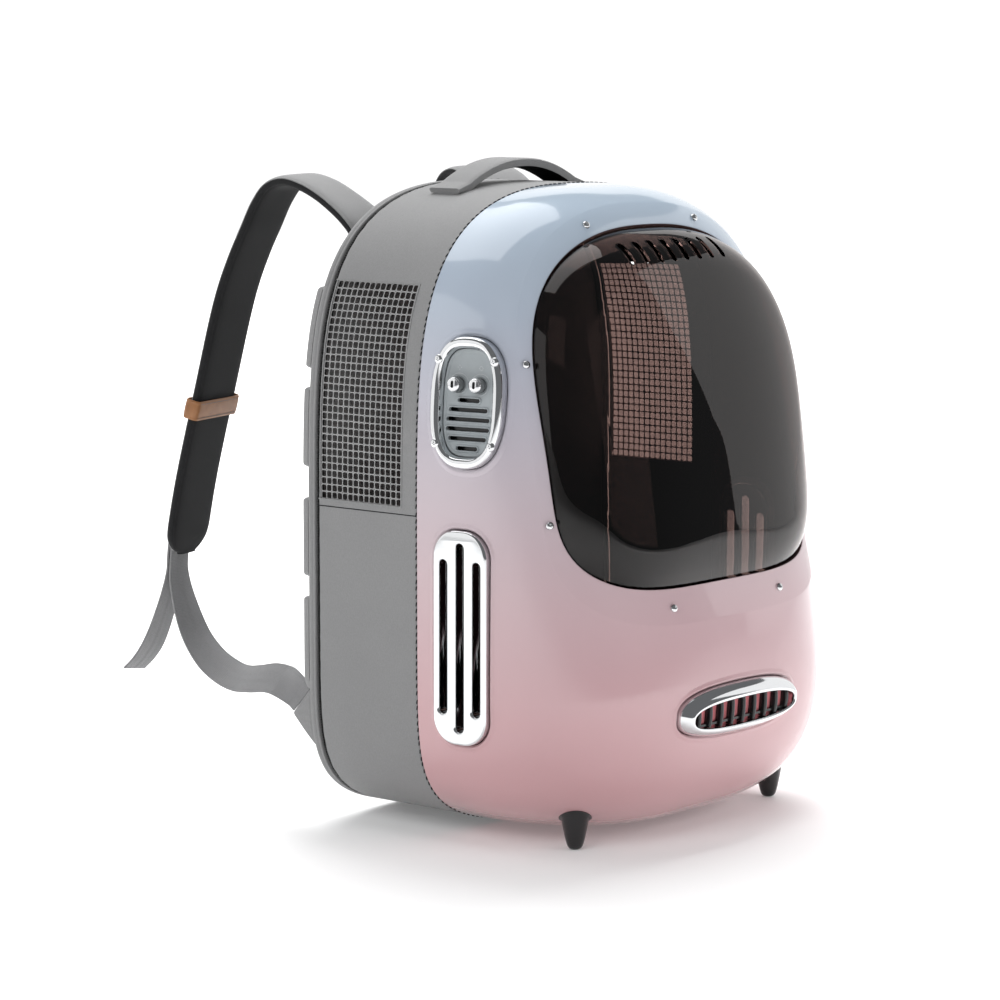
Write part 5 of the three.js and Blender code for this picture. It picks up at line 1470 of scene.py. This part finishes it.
def strap_pad(side, word):
    """A padded strap with a welt along both edges, rounded off at its end."""
    stations = strap_stations(side, 150)
    stations = flip(stations, strap_sign(stations))
    count = len(stations) - 1
    lengths = np.concatenate([[0], np.cumsum([np.linalg.norm(b["point"] - a["point"])
                                              for a, b in zip(stations, stations[1:])])])
    total = lengths[-1]
    angle = np.radians(np.arange(0, 360, 5.0))
    bend = lambda value, power: np.sign(value) * np.abs(value) ** (2 / power)
    ring_a, ring_b = bend(np.cos(angle), 5.0), bend(np.sin(angle), 2.5)
    welt = 0.5 * np.exp(-((ring_b - 0.62) / 0.12) ** 2) - 0.35 * np.exp(-((ring_b - 0.40) / 0.09) ** 2)
    for station, place in zip(stations, lengths):
        left = min(1.0, (total - place) / 24)
        station["width"] = STRAP_WIDTH * max(0.42, (1 - (1 - left) ** 2.4) ** (1 / 2.4))

    def section(width, t):
        place = lengths[int(round(t * count))]
        thin = 0.66 + 0.34 * float(smooth_step(min(place, total - place) / 14))
        half, deep = width / 2 - 0.5, STRAP_THICKNESS / 2 * thin
        seam = 0.5 * np.exp(-((np.abs(ring_a) - 0.90) / 0.025) ** 2) * (np.abs(ring_b) > 0.6)
        return list(zip(ring_a * (half + welt), ring_b * (deep - seam)))
    obj, rows = sweep(f"strap_pad_{word}_quilted", stations, section, crease=70)
    obj.data.materials.append(STRAP_FACE)
    obj.data.materials.append(STRAP_LINING_AND_SHADE)
    # Faces towards the back take the near-black underside cloth: dark cloth and painted shade.
    columns = rows.shape[1]
    for face in obj.data.polygons:
        level = np.mean([ring_b[v % columns] for v in face.vertices])
        face.material_index = 0 if level > 0.45 and len(face.vertices) == 4 else 1
    return finish_piece(obj, None, nodes=[f"strap_pad_{word}"])


def strap_at(side, z):
    """The falling stretch of the strap at a height: point, across, forward and away from the pack."""
    fine = strap_stations(side, 900)
    heights = np.array([s["point"][2] for s in fine])
    top = int(heights.argmax())
    index = top + 1 + int(np.argmax(heights[top + 1:] <= z))
    forward = normalise(fine[index + 1]["point"] - fine[index - 1]["point"])
    across = fine[index]["across"]
    back = np.cross(across, forward)
    if back[1] < 0:
        back = -back
    return fine[index]["point"], across, forward, back


def strap_keeper(side, word):
    """A leather loop round the strap, with stitches along both edges."""
    point, across, forward, back = strap_at(side, 0.631 * HEIGHT)
    base = rounded_rectangle(STRAP_WIDTH / 2 + 0.7, STRAP_THICKNESS / 2 + 0.7, 2.6, 48)
    profile = [(0.9, -7.2), (0.9, -6.6), (1.35, -6.1), (1.1, -5.2), (1.35, -4.4), (1.45, 0), (1.35, 4.4),
               (1.1, 5.2), (1.35, 6.1), (0.9, 6.6), (0.9, 7.2), (0.0, 7.1), (0.0, -7.1)]
    rows = []
    for offset, shift in profile:
        edge = grow(base, offset)
        rows.append(point + edge[:, :1] * across + edge[:, 1:] * back + forward * shift)
    obj = grid_object(f"strap_keeper_{word}_leather", np.array(rows), close_rows=True, crease=50)
    finish_piece(obj, LEATHER, nodes=[f"strap_keeper_{word}"])
    edge = dense(grow(base, 1.2), 2.4)
    keep = np.abs(edge[:, 0]) < STRAP_WIDTH / 2 - 2
    spots, normals, directions = [], [], []
    for shift in (-5.2, 5.2):
        for a, b in edge[keep]:
            spots.append(point + a * across + b * back + forward * shift)
            normals.append(back * np.sign(b))
            directions.append(across)
    marks = stitches(f"strap_keeper_{word}_stitches", spots, normals, directions, 1.7, 0.25)
    finish_piece(marks, PALE_THREAD)


WEB_WIDTH, WEB_THICKNESS = 25.0, 1.8
WEB_ROUTE = [
    (0.025, 0, 0.2), (0.062, 0.045, 0.433), (0.111, 0.129, 0.69), (0.21, 0.251, 0.86), (0.321, 0.379, 0.942),
    (0.481, 0.502, 0.959), (0.63, 0.624, 0.93), (0.753, 0.759, 0.889), (0.877, 0.868, 0.895)]
TAIL_ROUTE = [(0.03, 0.16), (0.14, 0.34), (0.27, 0.5), (0.42, 0.66), (0.6, 0.81), (0.8, 0.92), (1, 1)]
TAB = dict(top=0.2133 * HEIGHT, bottom=0.12 * HEIGHT, tip=0.1689 * HEIGHT, reach=18.0, thickness=2.2)


def sewn_point(side, layer, share):
    """Where the webbing (layer 0) and its tail (layer 1) lie on the strap's end."""
    z = strap_end_z + 40 + (1 - 40) * share
    point, _, _, back = strap_at(side, z)
    return point + back * (STRAP_THICKNESS / 2 + CLEARANCE + WEB_THICKNESS / 2 + layer * (WEB_THICKNESS + 0.9))


def tab_half_width(z):
    return float(body_half_width(z)) - 1.8


def web_section(width, t):
    """A flat band with fine ribs along it."""
    half, deep = width / 2, WEB_THICKNESS / 2
    points = [(-half, 0)]
    for s in np.linspace(-0.97, 0.97, 41):
        rib = 0.13 * math.cos(s * 20 * math.pi) - (0.2 if abs(abs(s) - 0.86) < 0.03 else 0)
        points.append((s * half, deep * 0.86 + rib * (abs(s) < 0.93)))
    points.append((half, 0))
    for s in np.linspace(0.97, -0.97, 41):
        rib = 0.13 * math.cos(s * 20 * math.pi)
        points.append((s * half, -deep * 0.86 - rib * (abs(s) < 0.93)))
    return points


def web_stations(side):
    """Stations whose broad face turns steadily, from the strap's inner face to the tab's outer face."""
    start = sewn_point(side, 0, 1)
    seat = BACK_Y + CLEARANCE
    rise = TAB["top"] - TAB["tip"]
    slant = math.hypot(TAB["reach"], rise)
    off = np.array([0, rise / slant, TAB["reach"] / slant])
    middle = np.array([side * (tab_half_width(TAB["tip"]) - TAB["thickness"] / 2), seat + TAB["reach"] / 2,
                       (TAB["top"] + TAB["tip"]) / 2])
    end = middle + off * 0.9
    points = [sewn_point(side, 0, s) for s in (0, 0.5, 1)]
    points += [start + (end - start) * np.array(share) for share in WEB_ROUTE]
    points += [end + off * WEB_WIDTH / 3, end]
    stations = catmull([dict(point=p, across=np.array([1.0, 0, 0]), width=WEB_WIDTH) for p in points], 220)
    path = np.array([s["point"] for s in stations])
    forward = normalise(np.gradient(path, axis=0))
    length = np.concatenate([[0], np.cumsum(np.linalg.norm(np.diff(path, axis=0), axis=1))])
    share = length / length[-1]
    at_strap = [-side * math.sin(PLAN), -math.cos(PLAN), 0]
    facing = np.array([at_strap, at_strap, [side * 0.25, -0.85, 0.3], [side * 0.62, -0.35, 0.7],
                       [side * 0.72, 0, 0.7], [side * 0.8, 0, 0.6], [side, 0, 0]])
    shares = [0, 0.2, 0.42, 0.6, 0.75, 0.88, 1]
    normals = normalise(np.stack([np.interp(share, shares, facing[:, k]) for k in range(3)], 1))
    for station, f, n in zip(stations, forward, normals):
        station["across"] = np.cross(f, n)
    return stations


def webbing(side, word):
    """The band from the strap's end to the tab, and its loose tail."""
    obj, _ = sweep(f"strap_webbing_{word}_woven", web_stations(side), web_section, crease=70)
    finish_piece(obj, WEBBING, nodes=[f"strap_webbing_{word}"])
    start = sewn_point(side, 1, 1)
    across = np.array([-side * math.cos(PLAN), math.sin(PLAN), 0])
    stations = [dict(point=sewn_point(side, 1, s), across=across, width=WEB_WIDTH) for s in (0, 0.5, 1)]
    for reach, fall in TAIL_ROUTE:
        away = np.array([side * math.sin(PLAN) * reach * 37, reach * 37, -fall * 92])
        turned = across + (np.array([-side, 0.03, -0.06]) - across) * min(1, reach * 1.6)
        stations.append(dict(point=start + away, across=turned, width=WEB_WIDTH))
    obj, _ = sweep(f"strap_tail_{word}_woven", catmull(stations, 110), web_section, crease=70)
    finish_piece(obj, WEBBING, nodes=[f"strap_tail_{word}"])


def strap_tab(side, word):
    """A sewn triangle at the side of the back that holds the webbing."""
    seat = BACK_Y + CLEARANCE
    corners = np.array([(seat, TAB["top"]), (seat, TAB["bottom"]), (seat + TAB["reach"], TAB["tip"])])
    middle = corners.mean(0)
    ring_points = []
    for k in range(3):
        a, b = corners[k], corners[(k + 1) % 3]
        for t in np.linspace(0.04, 0.96, 14):
            ring_points.append(a + (b - a) * t)
    ring_points = np.array(ring_points)
    rows = []
    for scale, depth in [(0.5, 0.35), (0.8, 0.15), (0.87, 0.35), (0.93, 0.1), (0.98, 0.25), (1.0, 0.8),
                         (1.0, 1.4), (0.98, 1.95), (0.93, 2.1), (0.87, 1.85), (0.8, 2.05), (0.5, 1.85)]:
        p = middle + (ring_points - middle) * scale
        x = np.array([tab_half_width(z) for z in p[:, 1]]) - depth
        rows.append(np.stack([side * x, p[:, 0], p[:, 1]], 1))
    obj = grid_object(f"strap_tab_{word}_canvas", np.array(rows), caps=True, crease=60)
    finish_piece(obj, CANVAS_SPACE, nodes=[f"strap_tab_{word}"])


for side, word in ((-1, "left"), (1, "right")):
    strap_pad(side, word)
    strap_keeper(side, word)
    webbing(side, word)
    strap_tab(side, word)


# Stage, light and camera
def area_light(name, place, aim, size, energy, hidden=False):
    data = bpy.data.lights.new(name, "AREA")
    data.shape = "RECTANGLE"
    data.size, data.size_y = size
    data.energy = energy
    obj = bpy.data.objects.new(name, data)
    obj.location = place
    obj.rotation_euler = (Vector(aim) - Vector(place)).to_track_quat("-Z", "Y").to_euler()
    obj.visible_glossy = not hidden
    bpy.context.scene.collection.objects.link(obj)


def stage_object(name, points, faces, shader):
    """A mesh of the room, in metres."""
    mesh = bpy.data.meshes.new(name)
    mesh.from_pydata(points, [], faces)
    mesh.materials.append(shader.material)
    obj = bpy.data.objects.new(name, mesh)
    bpy.context.scene.collection.objects.link(obj)


def stage():
    """A pale floor, a white wall round the back half, and soft lights."""
    floor_reach, wall_reach = 7.0, 6.9
    angle = np.radians(np.linspace(-38, 172, 72))
    floor_points = [(floor_reach * math.cos(a), floor_reach * math.sin(a), 0.0)
                    for a in np.linspace(0, 2 * math.pi, 120)[:-1]]
    shader = Shader("floor paper", Roughness=0.95, Emission_Color=(1.0, 1.0, 1.0), Emission_Strength=0.12)
    grain = shader.noise(shader.coords("Object"), 120, 3)
    shader.link("Base Color", shader.ramp(grain, [(0.3, (0.89, 0.89, 0.89)), (0.7, (0.90, 0.90, 0.90))]))
    stage_object("floor", floor_points, [tuple(range(len(floor_points)))], shader)
    wall_points = [(wall_reach * math.cos(a), wall_reach * math.sin(a), z) for z in (-0.2, 4.5) for a in angle]
    count = len(angle)
    shader = Shader("white wall", Base_Color=(0.0, 0.0, 0.0), Roughness=1.0)
    shader.link("Emission Color", (1.0, 1.0, 1.0))
    shader.link("Emission Strength", 1.05)
    stage_object("wall", wall_points, [(i, i + 1, count + i + 1, count + i) for i in range(count - 1)], shader)
    world = bpy.data.worlds.new("studio")
    bpy.context.scene.world = world
    world.use_nodes = True
    background = world.node_tree.nodes["Background"]
    background.inputs["Color"].default_value = (0.95, 0.97, 1.0, 1)
    background.inputs["Strength"].default_value = 0.16
    area_light("top", (0.2, 1.0, 2.5), (0, 0, 0.2), (2.4, 2.0), 27)
    area_light("key", (-2.4, -0.6, 2.0), (0, 0, 0.2), (1.6, 1.6), 27, hidden=True)
    area_light("front fill", (0.9, -2.8, 1.1), (0, -0.1, 0.25), (1.8, 1.8), 30, hidden=True)
    area_light("floor light", (2.6, 2.2, 3.6), (2.6, 2.2, 0), (4.4, 4.4), 370, hidden=True)


def camera():
    """At the photograph's angle, distance and lens."""
    data = bpy.data.cameras.new("photo camera")
    data.lens, data.sensor_width = 133.24, 36
    data.clip_start, data.clip_end = 0.05, 60
    obj = bpy.data.objects.new("photo camera", data)
    right, up, back = (0.6410, -0.7675, 0.0), (0.1005, 0.0839, 0.9914), (-0.7609, -0.6355, 0.1309)
    m = Matrix.Identity(4)
    for row in range(3):
        m[row][0], m[row][1], m[row][2] = right[row], up[row], back[row]
    m.translation = (-2.0584, -1.7057, 0.5710)
    obj.matrix_world = m
    bpy.context.scene.collection.objects.link(obj)
    bpy.context.scene.camera = obj


stage()
camera()
bpy.context.scene.view_settings.view_transform = "Standard"
bpy.context.scene.view_settings.look = "None"
